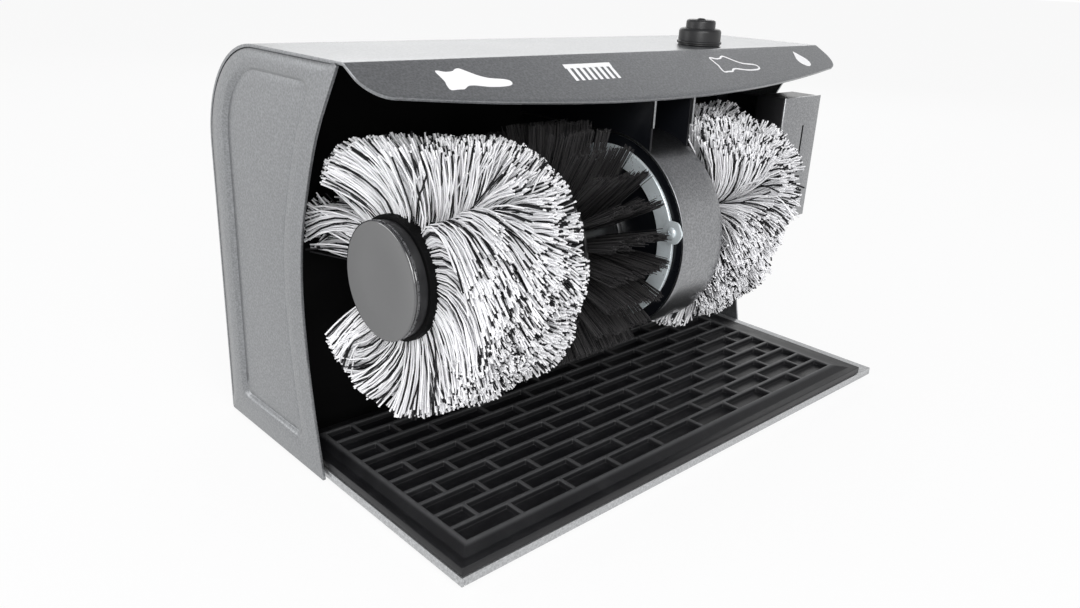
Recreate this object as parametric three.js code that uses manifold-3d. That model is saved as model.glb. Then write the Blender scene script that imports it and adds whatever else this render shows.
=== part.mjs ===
// Shoe shine machine: a bent sheet hood between two side panels stands on a shallow tray with a
// rubber mat. Two mops and a bristle brush turn on one shaft that a drive casing carries in the
// middle, a belt drives them from a motor behind the bulkhead, a button on the hood starts it,
// and a cream dispenser hangs at the right.
//
// Units are millimetres. X runs to the right seen from the front, Y to the back and Z up. Inside
// the machine group y starts at the tray's front edge and z at the lower edge of its flange.

import * as THREE from 'three';
import { mergeVertices } from 'three/addons/utils/BufferGeometryUtils.js';
import Module from 'manifold-3d';

// Gaps that every fit takes its size from.
const restGap = 0.3; // between two pieces that rest on, seat in or butt against each other
const slideGap = 0.5; // beside a piece that slides
const cutOverrun = 1; // how far a cutting body runs past the wall that it cuts

// Facets of round pieces.
const fineSides = 40;
const plainSides = 24;
const smallSides = 12;
const screwSides = 10;

// Hood: one sheet bent into lip, top, rear corner and back.
const hoodWidth = 400;
const hoodSheet = 1.6;
const hoodFoldY = 89; // where the top bends down into the lip
const hoodCornerRadius = 62;
const hoodCornerSteps = 12;
const hoodHem = 0.6; // how far above the flange's lower edge the back ends
const lipSlopeDegrees = 30;
const lipMiddleLength = 43.3; // along the slope, at the middle of the machine
const lipEndLength = 25;
const lipCornerReach = 13;
const lipArcSteps = 24;
const lipCornerSteps = 5;

// Cooling slots in the hood's back, in two banks.
const ventCount = 7;
const ventLength = 46;
const ventHeight = 3.4;
const ventPitch = 9;
const ventFromEdge = 96; // from the hood's edge to the middle of a bank
const ventTopMargin = 5; // from the rear corner's bend down to the highest slot
const ventEndSteps = 4;

// Side panels: sheets set in a little from the hood's edge, each with a pressed field.
const panelSheet = 1.5;
const panelInset = 0.9; // from the hood's edge to the panel's outer face
const panelFrontSetback = 34; // from the hood's fold to the foot of the panel's front edge
const panelFrontBow = 15.6; // how far back the front edge swings from its foot
const panelFrontShares = [
  [0, 0], [0.532, 0.166], [0.853, 0.309], [1, 0.457], [0.827, 0.591],
  [0.218, 0.734], [-0.519, 0.855], [-1.57, 0.969], [-1.865, 1],
];
const panelFrontSteps = 20;
const panelHeelRadius = 5;
const panelHeelSteps = 4;
const fieldFrontMargin = 17;
const fieldBackMargin = 15;
const fieldTopMargin = 8;
const fieldBottomMargin = 15;
const fieldDepth = 2.2;
const fieldSlope = 5; // width of the soft slope around the field
const fieldCornerRadius = 6;
const fieldCornerSteps = 4;

// Tray: floor sheet with flanges turned down at the front and sides and up at the rear.
const traySheet = 1.5;
const trayFloorTop = 5.1;
const trayCornerSlit = 0.6;
const trayUpstand = 22; // top of the rear flange

// Rubber feet.
const footRadius = 9;
const footRise = 3; // how far the feet stand below the flange
const footInsetX = 28;
const footInsetY = 26;
const footTaper = 1;

// Rubber mat: a flat border, a sloped rim and a brick bond of pockets.
const matWidth = 377;
const matFrontY = 0.4;
const matSideGap = 0.4; // between the mat's left edge and the tray's left edge
const matBorderTop = 10.4; // above the flange's lower edge
const matTop = 14.2;
const matFootInset = 5.5;
const matRimInset = 11.3; // outer edge of the rim's top at the left, front and back
const matRightFootInset = 8;
const matRightRimInset = 22.5;
const matRimWidth = 1.6;
const matRibWidth = 2.2;
const matPocketDepth = 3.5;
const matColumns = 9;
const matRows = 10;
const matRearGap = 7; // from the mat to the bulkhead

// Brush shaft and the drive casing that carries it.
const shaftY = 86;
const shaftZ = 127.9;
const shaftRadius = 6;
const shaftEndRecess = 1.2; // from a shaft end to the inner face of its end cap
const casingX = -2; // middle of the casing
const casingWidth = 37;
const casingMargin = 7.7; // from the bright ring to the outside of the band round the nose
const casingSheet = 1.5;
const casingSetback = 2.9; // from the lip's tip to the wall between the nose and the hood
const casingSideInset = 0.8; // from the band's edge to the side plate's outer face
const casingRail = 2; // width of the two rails beside the front window
const casingSill = 3.5; // from the top of the nose to the lower edge of the front window
const casingBridge = 4; // height of the bar above the window
const casingBlankSet = 2.4; // how far the blank behind the window lies back
const casingNoseSteps = 30;

// Bearings in the two side plates, the bright ring on the left plate and the plate that holds it.
const bearingRadius = 14;
const bearingWidth = 7;
const ringMargin = 12.5; // from the belt's running face to the outside of the ring
const ringBreadth = 11;
const ringSheet = 1.8;
const clampAngleDegrees = 13;
const clampOffset = 1.9; // from the ring's outer edge to the clamp's screw
const clampSize = 7.6; // from the clamp's middle to its corners
const clampSheet = 1.5;
const clampCornerShare = 0.28;
const screwHeadRadius = 3.2;
const screwHeadHeight = 1.6;
const screwShankRadius = 1.4;
const screwSlotWidth = 0.8;
const screwSlotDepth = 0.7;

// Mops. The left one ends near the left panel, the right one stands beside the casing.
const mopHubRadius = 30.5;
const mopPileLength = 64; // along the shaft, at the backing
const mopPileRadius = 73; // to the tips at the middle
const mopEndTipRadius = 59; // to the tips at the ends
const mopTipSpread = 12; // how far the end rows lean out along the shaft
const mopBacking = 2.4; // thickness of the backing sleeve
const mopRows = 6;
const mopStrandsPerRow = 18;
const mopStrandWidth = 4.6;
const mopStrandTipWidth = 3.4;
const mopSwirlShares = [0.34, 0.12]; // tangential lean, in radians of tip for base
const mopSwirlPhases = [1.1, 0.4];
const mopCapEdge = 5; // from the hub's outer end to the pile
const leftMopEndX = -182;
const rightMopEndX = 102.7;
const capRadius = 31.2;
const capThickness = 2.7;
const capChamfer = 0.7;

// Bristle brush and its separator disc.
const separatorX = -88.2; // the face towards the brush
const separatorRadius = 52.7;
const separatorThickness = 2;
const brushHubRadius = 24;
const brushLength = 50;
const brushBacking = 2.4;
const brushTipRadius = 70;
const brushTuftRows = 22;
const brushTuftsPerRow = 5;
const brushEndMargin = 4.5;
const brushStrandWidth = 4.6; // along the shaft
const brushStrandDepth = 2.4; // round the hub
const brushStrandTipShare = 0.8;
const brushLean = 2; // the tips lean towards the separator

// Drive: motor, pulleys and belt.
const motorDrop = 43.9; // from the brush shaft's axis down to the motor's
const motorRadius = 28;
const motorLength = 84;
const motorX = 36; // left end of the motor can
const motorEndThickness = 9;
const motorEndRadius = 29.5;
const motorFrontClearance = 6; // from the bulkhead to the motor's ends
const motorRearClearance = 3.9; // from the motor's ends to the hood's back
const motorShaftRadius = 4;
const motorShaftOverrun = 3; // past the pulley
const drivePulleyRadius = 15;
const drivenPulleyRadius = 42;
const pulleyWidth = 12;
const pulleyFlange = 1.6;
const pulleyFlangeRise = 2.4;
const beltThickness = 1.6;
const beltSideGap = 0.6;
const beltSteps = 24;
const bracketSheet = 2.5;
const bracketFoot = 26;
const bracketMargin = 4;

// Bulkhead between the brush bay and the motor space.
const bayRearClearance = 9; // from the sweep of the mops to the bulkhead
const bayTopClearance = 34.1; // from the sweep of the mops to the top of the hood
const bulkheadSheet = 1.5;
const slotSill = 1.8; // from the casing's bottom run to the belt slot
const slotRise = 12.1; // from the brush shaft's axis to the top of the belt slot

// Capacitor, terminal box and cord inlet behind the bulkhead.
const capacitorRadius = 16;
const capacitorLength = 62;
const capacitorX = -128;
const clipWall = 2;
const clipWidth = 14;
const terminalWidth = 54;
const terminalDepth = 26;
const terminalHeight = 34;
const terminalX = -70;
const inletX = -150;
const inletZ = 44;
const inletRadius = 8;
const inletBore = 3.6;
const inletFlangeRadius = 11;
const inletProud = 3; // how far the grommet stands out of the back
const inletTail = 9;

// Push button on the hood and the switch below it.
const buttonX = 88;
const buttonSetback = 22; // from the hood's fold to the button's axis
const collarRadius = 14.1;
const collarHeight = 11;
const collarBead = 0.8;
const collarBeadHeight = 1.6;
const collarBeadFoot = 1.4;
const collarRound = 1.8;
const capRimRadius = 9.8;
const capTopHeight = 16.5;
const capRound = 1.6;
const capFoot = 6; // height of the cap's lower face above the hood
const buttonDomeRadius = 2.9;
const buttonDomeHeight = 1;
const stemRadius = 4;
const stemDrop = 4; // how far the stem reaches below the hood's top
const buttonTravel = 4;
const switchSize = 26;
const switchHeight = 20;

// Cream dispenser in front of the right panel's front edge.
const dispenserFrontY = 76;
const dispenserWidth = 47.3;
const dispenserHeight = 91;
const dispenserDrop = 34.7; // from the top of the hood to the top of the dispenser
const dispenserSheet = 1.5;
const dispenserEdgeRadius = 1.4;
const dispenserEdgeSteps = 3;
const dispenserDepth = 25; // front plate and tank together
const sightFromLeft = 27.7; // from the plate's left edge to the slot
const sightWidth = 2;
const sightRise = 45.7; // from the plate's lower edge to the slot
const sightHeight = 24.4;
const tankInset = 0.5; // from the front plate's edge to the tank's side
const tankWall = 2.2;
const armThickness = 9;
const armFootMargin = 12.7;
const armTopMargin = 6.3;
const armReach = 51; // from the tank's back to the arm's end
const valveFromLeft = 13.3; // from the plate's left edge to the valve
const valveFromFront = 13; // from the plate's front to the valve
const baseThickness = 3;
const guideRadius = 6.5;
const guideHeight = 12;
const valveRadius = 3.4;
const valveHeadRadius = 5.2;
const valveHeadHeight = 3;
const valveDrop = 9; // how far the valve hangs below the base
const valveTravel = 5;
const valveCollarHeight = 2.5;

// Screws that hold the hood's back to the tray.
const backScrewFromEdge = 30;
const backScrewInnerX = 58;
const backScrewZ = 13;
const backScrewHeadRadius = 4;
const backScrewHeadHeight = 2;
const backScrewShankRadius = 1.8;

// Values that follow from those above.
const bulkheadY = shaftY + mopPileRadius + bayRearClearance;
const motorY = bulkheadY + bulkheadSheet + motorFrontClearance + motorEndRadius;
const hoodDepth = motorY + motorEndRadius + motorRearClearance + hoodSheet;
const overallDepth = hoodDepth + inletProud;
const lipSlope = THREE.MathUtils.degToRad(lipSlopeDegrees);
const panelOuterX = hoodWidth / 2 - panelInset;
const panelInnerX = panelOuterX - panelSheet;
const hoodTop = shaftZ + mopPileRadius + bayTopClearance;
const lipTipY = hoodFoldY - lipMiddleLength * Math.cos(lipSlope);
const panelFrontBottomY = hoodFoldY + panelFrontSetback;
const buttonY = hoodFoldY + buttonSetback;
const backScrewX = hoodWidth / 2 - backScrewFromEdge;
const ringOuterRadius = drivenPulleyRadius + ringMargin;
const ringInnerRadius = ringOuterRadius - ringBreadth;
const clampRadius = ringOuterRadius + clampOffset;
const casingRadius = ringOuterRadius + casingMargin;
const casingFrontY = lipTipY + casingSetback;
const noseTopZ = shaftZ + Math.sqrt(casingRadius ** 2 - (shaftY - casingFrontY) ** 2);
const motorZ = shaftZ - motorDrop;
const bulkheadSlotFoot = shaftZ - casingRadius + casingSheet + slotSill;
const bulkheadSlotTop = shaftZ + slotRise;
const dispenserTopZ = hoodTop - dispenserDrop;
const dispenserFootZ = dispenserTopZ - dispenserHeight;
const dispenserRightX = panelInnerX - 2 * restGap;
const dispenserLeftX = dispenserRightX - dispenserWidth;
const sightX = dispenserLeftX + sightFromLeft;
const valveX = dispenserLeftX + valveFromLeft;
const valveY = dispenserFrontY + valveFromFront;
const panelTopZ = hoodTop - hoodSheet - restGap;
const panelBackY = hoodDepth - hoodSheet - restGap;
const trayHalfWidth = panelInnerX - restGap;
const trayUnderside = trayFloorTop - traySheet;
const matLeftX = -trayHalfWidth + matSideGap;
const matFoot = trayFloorTop + restGap;
const casingLeftX = casingX - casingWidth / 2;
const casingRightX = casingX + casingWidth / 2;
const plateRadius = casingRadius - casingSheet - restGap;
const plateLeftOuterX = casingLeftX + casingSideInset;
const plateRightOuterX = casingRightX - casingSideInset;
const bayTop = hoodTop - hoodSheet - restGap;
const hubBore = shaftRadius + restGap;
const pileFoot = mopHubRadius + restGap;

const wasm = await Module();
wasm.setup();

// Keeps only the positions and joins the vertices that coincide.
function weld(geometry) {
  const plain = geometry.index ? geometry.toNonIndexed() : geometry.clone();
  for (const key of Object.keys(plain.attributes)) {
    if (key !== 'position') plain.deleteAttribute(key);
  }
  const merged = mergeVertices(plain);
  const index = merged.index.array;
  const kept = [];
  for (let i = 0; i < index.length; i += 3) {
    const [a, b, c] = [index[i], index[i + 1], index[i + 2]];
    if (a !== b && b !== c && a !== c) kept.push(a, b, c);
  }
  merged.setIndex(kept);
  return merged;
}

// Six times the enclosed volume, negative where the faces point in.
function signedVolume(geometry) {
  const p = geometry.attributes.position;
  const index = geometry.index.array;
  const [a, b, c] = [new THREE.Vector3(), new THREE.Vector3(), new THREE.Vector3()];
  let sum = 0;
  for (let i = 0; i < index.length; i += 3) {
    a.fromBufferAttribute(p, index[i]);
    b.fromBufferAttribute(p, index[i + 1]);
    c.fromBufferAttribute(p, index[i + 2]);
    sum += a.dot(b.cross(c));
  }
  return sum;
}

// A closed geometry as a solid that can be joined and cut.
function solid(geometry) {
  const welded = weld(geometry);
  const triVerts = Uint32Array.from(welded.index.array);
  if (signedVolume(welded) < 0) {
    for (let i = 0; i < triVerts.length; i += 3) {
      [triVerts[i], triVerts[i + 1]] = [triVerts[i + 1], triVerts[i]];
    }
  }
  const vertProperties = Float32Array.from(welded.attributes.position.array);
  return new wasm.Manifold(new wasm.Mesh({ numProp: 3, vertProperties, triVerts }));
}

// The solid's surface as a geometry again.
function surface(body) {
  const mesh = body.getMesh();
  const geometry = new THREE.BufferGeometry();
  geometry.setAttribute('position', new THREE.BufferAttribute(mesh.vertProperties.slice(), 3));
  geometry.setIndex(Array.from(mesh.triVerts));
  geometry.computeVertexNormals();
  return geometry;
}

function joined(bodies) {
  return bodies.reduce((whole, body) => whole.add(body));
}

function cut(body, tools) {
  return tools.reduce((rest, tool) => rest.subtract(tool), body);
}

function material(color, roughness, metalness) {
  return new THREE.MeshStandardMaterial({ color, roughness, metalness });
}

const hammertone = material(0x84868a, 0.45, 0.75);
const trayPaint = material(0xb4b6b8, 0.45, 0.6);
const blackPaint = material(0x0c0c0e, 0.6, 0.2);
const blackRubber = material(0x202124, 0.75, 0);
const blackPlastic = material(0x121215, 0.35, 0);
const darkGloss = material(0x2a2c2f, 0.12, 0.1);
const brightSteel = material(0xcdd4da, 0.2, 1);
const plainSteel = material(0x9a9da1, 0.35, 0.9);
const castGrey = material(0x6a6c70, 0.6, 0.7);
const mopYarn = material(0xf0f0f2, 0.9, 0);
const bristle = material(0x17171a, 0.5, 0);

// Named mesh of a solid or of a closed geometry, its faces turned outwards.
function piece(name, body, paint, parent) {
  const geometry = surface(body.isBufferGeometry ? solid(body) : body);
  const mesh = new THREE.Mesh(geometry, paint);
  mesh.name = name;
  parent.add(mesh);
  return mesh;
}

// Box between two corners.
function block(low, high) {
  const size = high.map((value, i) => value - low[i]);
  const geometry = new THREE.BoxGeometry(...size);
  geometry.translate(...low.map((value, i) => value + size[i] / 2));
  return geometry;
}

function shapeOf(points) {
  return new THREE.Shape(points.map(([u, v]) => new THREE.Vector2(u, v)));
}

function extruded(shape, depth) {
  return new THREE.ExtrudeGeometry(shape, { depth, bevelEnabled: false, curveSegments: smallSides });
}

// Outline in Y and Z, drawn out along X.
function prismX(points, fromX, toX) {
  const geometry = extruded(shapeOf(points), toX - fromX);
  const turn = new THREE.Matrix4().makeBasis(
    new THREE.Vector3(0, 1, 0), new THREE.Vector3(0, 0, 1), new THREE.Vector3(1, 0, 0));
  geometry.applyMatrix4(turn);
  geometry.translate(fromX, 0, 0);
  return geometry;
}

// Outline in X and Z, drawn out along Y.
function prismY(points, fromY, toY) {
  const geometry = extruded(shapeOf(points), toY - fromY);
  const turn = new THREE.Matrix4().makeBasis(
    new THREE.Vector3(1, 0, 0), new THREE.Vector3(0, 0, 1), new THREE.Vector3(0, -1, 0));
  geometry.applyMatrix4(turn);
  geometry.translate(0, toY, 0);
  return geometry;
}

// Outline in X and Y, drawn out along Z.
function prismZ(points, fromZ, toZ) {
  const geometry = extruded(shapeOf(points), toZ - fromZ);
  geometry.translate(0, 0, fromZ);
  return geometry;
}

// Closed profile of [along, radius] points turned about the X axis.
function turnedX(profile, sides) {
  const loop = profile.concat([profile[0]]);
  const points = loop.map(([along, radius]) => new THREE.Vector2(radius, along));
  const geometry = new THREE.LatheGeometry(points, sides);
  geometry.rotateZ(-Math.PI / 2);
  return geometry;
}

// Closed profile of [up, radius] points turned about the Z axis.
function turnedZ(profile, sides) {
  const geometry = turnedX(profile, sides);
  geometry.rotateY(-Math.PI / 2);
  return geometry;
}

function rodX(fromX, toX, radius, sides) {
  return turnedX([[fromX, 0], [toX, 0], [toX, radius], [fromX, radius]], sides);
}

function sleeveX(fromX, toX, inner, outer, sides) {
  return turnedX([[fromX, inner], [toX, inner], [toX, outer], [fromX, outer]], sides);
}

function rodZ(fromZ, toZ, radius, sides) {
  return turnedZ([[fromZ, 0], [toZ, 0], [toZ, radius], [fromZ, radius]], sides);
}

function rodY(fromY, toY, radius, sides) {
  const geometry = rodZ(-toY, -fromY, radius, sides);
  geometry.rotateX(Math.PI / 2);
  return geometry;
}

function moved(geometry, x, y, z) {
  geometry.translate(x, y, z);
  return geometry;
}

// Points on an arc about a centre, ends included.
function arc(centreU, centreV, radius, fromAngle, toAngle, steps) {
  const points = [];
  for (let i = 0; i <= steps; i += 1) {
    const angle = fromAngle + ((toAngle - fromAngle) * i) / steps;
    points.push([centreU + radius * Math.cos(angle), centreV + radius * Math.sin(angle)]);
  }
  return points;
}

// Length of the lip along its slope at a place along the machine.
function lipLength(x) {
  const reach = hoodWidth / 2 - lipCornerReach;
  const drop = lipMiddleLength - lipEndLength - traySheet;
  return lipMiddleLength - drop * (x / reach) ** 2;
}

function lipOutline() {
  const half = hoodWidth / 2;
  const reach = half - lipCornerReach;
  const shape = new THREE.Shape();
  shape.moveTo(-half, 0);
  shape.lineTo(-half, lipEndLength - lipCornerReach);
  shape.quadraticCurveTo(-half, lipEndLength, -reach, lipLength(-reach));
  for (let i = 1; i <= lipArcSteps; i += 1) {
    const x = -reach + (2 * reach * i) / lipArcSteps;
    shape.lineTo(x, lipLength(x));
  }
  shape.quadraticCurveTo(half, lipEndLength, half, lipEndLength - lipCornerReach);
  shape.lineTo(half, 0);
  return shape;
}

// Slot with round ends, cut through the hood's back.
function ventSlot(x, z) {
  const reach = ventLength / 2 - ventHeight / 2;
  const left = arc(x - reach, z, ventHeight / 2, Math.PI / 2, (3 * Math.PI) / 2, ventEndSteps);
  const right = arc(x + reach, z, ventHeight / 2, -Math.PI / 2, Math.PI / 2, ventEndSteps);
  return solid(prismY(left.concat(right), hoodDepth - hoodSheet - cutOverrun, hoodDepth + cutOverrun));
}

function hoodShell() {
  const centreY = hoodDepth - hoodCornerRadius;
  const centreZ = hoodTop - hoodCornerRadius;
  const inner = hoodCornerRadius - hoodSheet;
  const outline = [
    [hoodFoldY, hoodTop - hoodSheet],
    ...arc(centreY, centreZ, inner, Math.PI / 2, 0, hoodCornerSteps),
    [hoodDepth - hoodSheet, hoodHem],
    [hoodDepth, hoodHem],
    ...arc(centreY, centreZ, hoodCornerRadius, 0, Math.PI / 2, hoodCornerSteps),
    [hoodFoldY, hoodTop],
  ];
  const sheet = solid(prismX(outline, -hoodWidth / 2, hoodWidth / 2));
  const lip = new THREE.ExtrudeGeometry(
    lipOutline(), { depth: hoodSheet, bevelEnabled: false, curveSegments: lipCornerSteps });
  const slope = new THREE.Matrix4().makeBasis(
    new THREE.Vector3(1, 0, 0),
    new THREE.Vector3(0, -Math.cos(lipSlope), -Math.sin(lipSlope)),
    new THREE.Vector3(0, Math.sin(lipSlope), -Math.cos(lipSlope)));
  lip.applyMatrix4(slope);
  lip.translate(0, hoodFoldY, hoodTop);
  const tools = [
    solid(moved(rodZ(-hoodSheet - cutOverrun, cutOverrun, stemRadius + slideGap, smallSides),
      buttonX, buttonY, hoodTop)),
    solid(moved(rodY(-hoodSheet - cutOverrun, cutOverrun, inletRadius + restGap, smallSides),
      inletX, hoodDepth, inletZ)),
  ];
  for (const side of [-1, 1]) {
    for (let i = 0; i < ventCount; i += 1) {
      tools.push(ventSlot(side * (hoodWidth / 2 - ventFromEdge),
        hoodTop - hoodCornerRadius - ventTopMargin - i * ventPitch));
    }
    for (const x of [backScrewX, backScrewInnerX]) {
      tools.push(solid(moved(
        rodY(-hoodSheet - cutOverrun, cutOverrun, backScrewShankRadius + restGap, screwSides),
        side * x, hoodDepth, backScrewZ)));
    }
  }
  return cut(joined([sheet, solid(lip)]), tools);
}

// Front edge of a side panel from its foot to its top.
function panelFrontEdge() {
  const places = panelFrontShares.map(([back, up]) => new THREE.Vector2(
    panelFrontBottomY + back * panelFrontBow, up * panelTopZ));
  return new THREE.SplineCurve(places).getPoints(panelFrontSteps).map((p) => [p.x, p.y]);
}

function panelOutline() {
  const radius = hoodCornerRadius - hoodSheet - restGap;
  return [
    ...panelFrontEdge().reverse(),
    ...arc(panelBackY - panelHeelRadius, panelHeelRadius, panelHeelRadius,
      -Math.PI / 2, 0, panelHeelSteps),
    ...arc(panelBackY - radius, panelTopZ - radius, radius, 0, Math.PI / 2, hoodCornerSteps),
  ];
}

// Outline of the pressed field, grown by a margin.
function fieldOutline(grow) {
  const radius = hoodCornerRadius - hoodSheet - restGap - fieldBackMargin;
  const low = fieldBottomMargin - grow;
  const high = panelTopZ - fieldTopMargin + grow;
  const back = panelBackY - fieldBackMargin + grow;
  const edge = panelFrontEdge().map(([y, z]) => [y + fieldFrontMargin - grow, z]);
  const frontAt = (z) => {
    const i = Math.min(Math.max(edge.findIndex((p) => p[1] > z), 1), edge.length - 1);
    const share = (z - edge[i - 1][1]) / (edge[i][1] - edge[i - 1][1]);
    return edge[i - 1][0] + share * (edge[i][0] - edge[i - 1][0]);
  };
  const small = fieldCornerRadius + grow;
  const front = [];
  for (let i = 1; i < panelFrontSteps; i += 1) {
    const z = high - small - ((high - low - 2 * small) * i) / panelFrontSteps;
    front.push([frontAt(z), z]);
  }
  return [
    ...front,
    ...arc(frontAt(low + small) + small, low + small, small, Math.PI, (3 * Math.PI) / 2,
      fieldCornerSteps),
    ...arc(back - small, low + small, small, -Math.PI / 2, 0, fieldCornerSteps),
    ...arc(back - radius, high - radius, radius, 0, Math.PI / 2, hoodCornerSteps),
    ...arc(frontAt(high - small) + small, high - small, small, Math.PI / 2, Math.PI,
      fieldCornerSteps),
  ];
}

// Body between two outlines of equal count, at two places along X.
function loftX(outlineA, xA, outlineB, xB) {
  const count = outlineA.length;
  const positions = [];
  const index = [];
  outlineA.forEach(([y, z]) => positions.push(xA, y, z));
  outlineB.forEach(([y, z]) => positions.push(xB, y, z));
  const flat = outlineA.map(([y, z]) => new THREE.Vector2(y, z));
  for (const [a, b, c] of THREE.ShapeUtils.triangulateShape(flat, [])) {
    index.push(a, c, b, count + a, count + b, count + c);
  }
  for (let i = 0; i < count; i += 1) {
    const j = (i + 1) % count;
    index.push(i, j, count + j, i, count + j, count + i);
  }
  const geometry = new THREE.BufferGeometry();
  geometry.setAttribute('position', new THREE.Float32BufferAttribute(positions, 3));
  geometry.setIndex(index);
  return geometry;
}

// Left panel; its outer face looks to -X, and the right one is its mirror image.
function sidePanel() {
  const outer = -panelOuterX;
  const sheet = solid(prismX(panelOutline(), outer, outer + panelSheet));
  const wide = fieldOutline(0);
  const narrow = fieldOutline(-fieldSlope);
  const slopeOverrun = (fieldSlope * cutOverrun) / fieldDepth;
  const press = solid(loftX(fieldOutline(slopeOverrun), outer - cutOverrun, narrow, outer + fieldDepth));
  const back = solid(loftX(wide, outer + panelSheet, narrow, outer + fieldDepth + panelSheet));
  return cut(joined([sheet, back]), [press]);
}

function mirroredX(geometry) {
  const mirrored = geometry.clone();
  mirrored.scale(-1, 1, 1);
  return surface(solid(mirrored));
}

function tray() {
  const half = trayHalfWidth;
  const back = panelBackY;
  const floor = block([-half, 0, trayUnderside], [half, back, trayFloorTop]);
  const frontHalf = half - traySheet - trayCornerSlit;
  const front = block([-frontHalf, 0, 0], [frontHalf, traySheet, trayFloorTop]);
  const left = block([-half, 0, 0], [-half + traySheet, back, trayFloorTop]);
  const right = block([half - traySheet, 0, 0], [half, back, trayFloorTop]);
  const rear = block([-half, back - traySheet, trayUnderside], [half, back, trayUpstand]);
  const holes = [-1, 1].flatMap((side) => [backScrewX, backScrewInnerX].map((x) => solid(moved(
    rodY(-hoodSheet - traySheet - cutOverrun, cutOverrun, backScrewShankRadius + restGap, screwSides),
    side * x, hoodDepth, backScrewZ))));
  return cut(joined([floor, front, left, right, rear].map(solid)), holes);
}

function foot() {
  return rodFoot(-footRise, trayUnderside - restGap);
}

function rodFoot(fromZ, toZ) {
  return turnedZ([[fromZ, 0], [toZ, 0], [toZ, footRadius], [fromZ, footRadius - footTaper]], plainSides);
}

// Rectangle as four corners.
function rectangle(lowX, highX, lowY, highY) {
  return [[lowX, lowY], [highX, lowY], [highX, highY], [lowX, highY]];
}

// Body between two outlines of equal count, at two heights.
function loftZ(outlineA, zA, outlineB, zB) {
  const swap = (outline) => outline.map(([x, y]) => [x, y]);
  const geometry = loftX(swap(outlineA), zA, swap(outlineB), zB);
  const turn = new THREE.Matrix4().makeBasis(
    new THREE.Vector3(0, 0, 1), new THREE.Vector3(1, 0, 0), new THREE.Vector3(0, 1, 0));
  geometry.applyMatrix4(turn);
  return geometry;
}

function matPockets() {
  const low = matLeftX + matRimInset + matRimWidth;
  const high = matLeftX + matWidth - matRightRimInset - matRimWidth;
  const pitch = (high - low + matRibWidth) / matColumns;
  const floor = matTop - matPocketDepth;
  const first = matFrontY + matRimInset + matRimWidth;
  const last = bulkheadY - matRearGap - matRimInset - matRimWidth;
  const rowPitch = (last - first + matRibWidth) / matRows;
  const pockets = [];
  for (let row = 0; row < matRows; row += 1) {
    const y = first + row * rowPitch;
    const shift = row % 2 === 0 ? 0 : -pitch / 2;
    for (let column = 0; column <= matColumns; column += 1) {
      const left = Math.max(low + shift + column * pitch, low);
      const right = Math.min(low + shift + (column + 1) * pitch - matRibWidth, high);
      if (right - left > matRibWidth) {
        pockets.push(solid(block([left, y, floor],
          [right, y + rowPitch - matRibWidth, matTop + cutOverrun])));
      }
    }
  }
  return pockets;
}

function mat() {
  const right = matLeftX + matWidth;
  const back = bulkheadY - matRearGap;
  const border = solid(block([matLeftX, matFrontY, matFoot], [right, back, matBorderTop]));
  const lower = rectangle(matLeftX + matFootInset, right - matRightFootInset,
    matFrontY + matFootInset, back - matFootInset);
  const upper = rectangle(matLeftX + matRimInset, right - matRightRimInset,
    matFrontY + matRimInset, back - matRimInset);
  const rise = solid(loftZ(lower, matBorderTop, upper, matTop));
  const plinth = solid(prismZ(lower, matFoot, matBorderTop));
  return cut(joined([border, plinth, rise]), matPockets());
}

function bulkhead() {
  const half = panelInnerX - fieldDepth - restGap;
  const wall = block([-half, bulkheadY, trayFloorTop + restGap],
    [half, bulkheadY + bulkheadSheet, bayTop]);
  const slotHalf = casingWidth / 2 - casingSideInset - casingSheet;
  const slot = block([casingX - slotHalf, bulkheadY - cutOverrun, bulkheadSlotFoot],
    [casingX + slotHalf, bulkheadY + bulkheadSheet + cutOverrun, bulkheadSlotTop]);
  return cut(solid(wall), [solid(slot)]);
}

// Height of the lip's underside, less a gap, at a place from front to back.
function lipUnderside(y) {
  return hoodTop - (hoodFoldY - y) * Math.tan(lipSlope) - (hoodSheet + restGap) / Math.cos(lipSlope);
}

// Everything above the lip's underside, to trim what stands under the lip.
function aboveLip() {
  const front = hoodFoldY - lipMiddleLength;
  const fold = hoodFoldY + hoodSheet;
  const outline = [[front, lipUnderside(front)], [fold, lipUnderside(fold)],
    [fold, hoodTop + cutOverrun], [front, hoodTop + cutOverrun]];
  return solid(prismX(outline, -hoodWidth / 2, hoodWidth / 2));
}

// Outline of the casing at a radius round the nose: nose, bottom run and front wall.
function casingPath(radius, frontY) {
  const back = bulkheadY - restGap;
  const lean = Math.acos((shaftY - frontY) / radius);
  return [
    [back, shaftZ - radius],
    ...arc(shaftY, shaftZ, radius, -Math.PI / 2, -Math.PI - lean, casingNoseSteps),
    [frontY, bayTop],
  ];
}

function casingBand() {
  const outer = casingPath(casingRadius, casingFrontY);
  const inner = casingPath(casingRadius - casingSheet, casingFrontY + casingSheet);
  const band = solid(prismX(outer.concat(inner.reverse()), casingLeftX, casingRightX));
  const window = solid(block(
    [casingLeftX + casingRail, casingFrontY - cutOverrun, noseTopZ + casingSill],
    [casingRightX - casingRail, casingFrontY + casingSheet + cutOverrun,
      lipUnderside(casingFrontY) - casingBridge]));
  return cut(band, [window, aboveLip()]);
}

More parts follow.
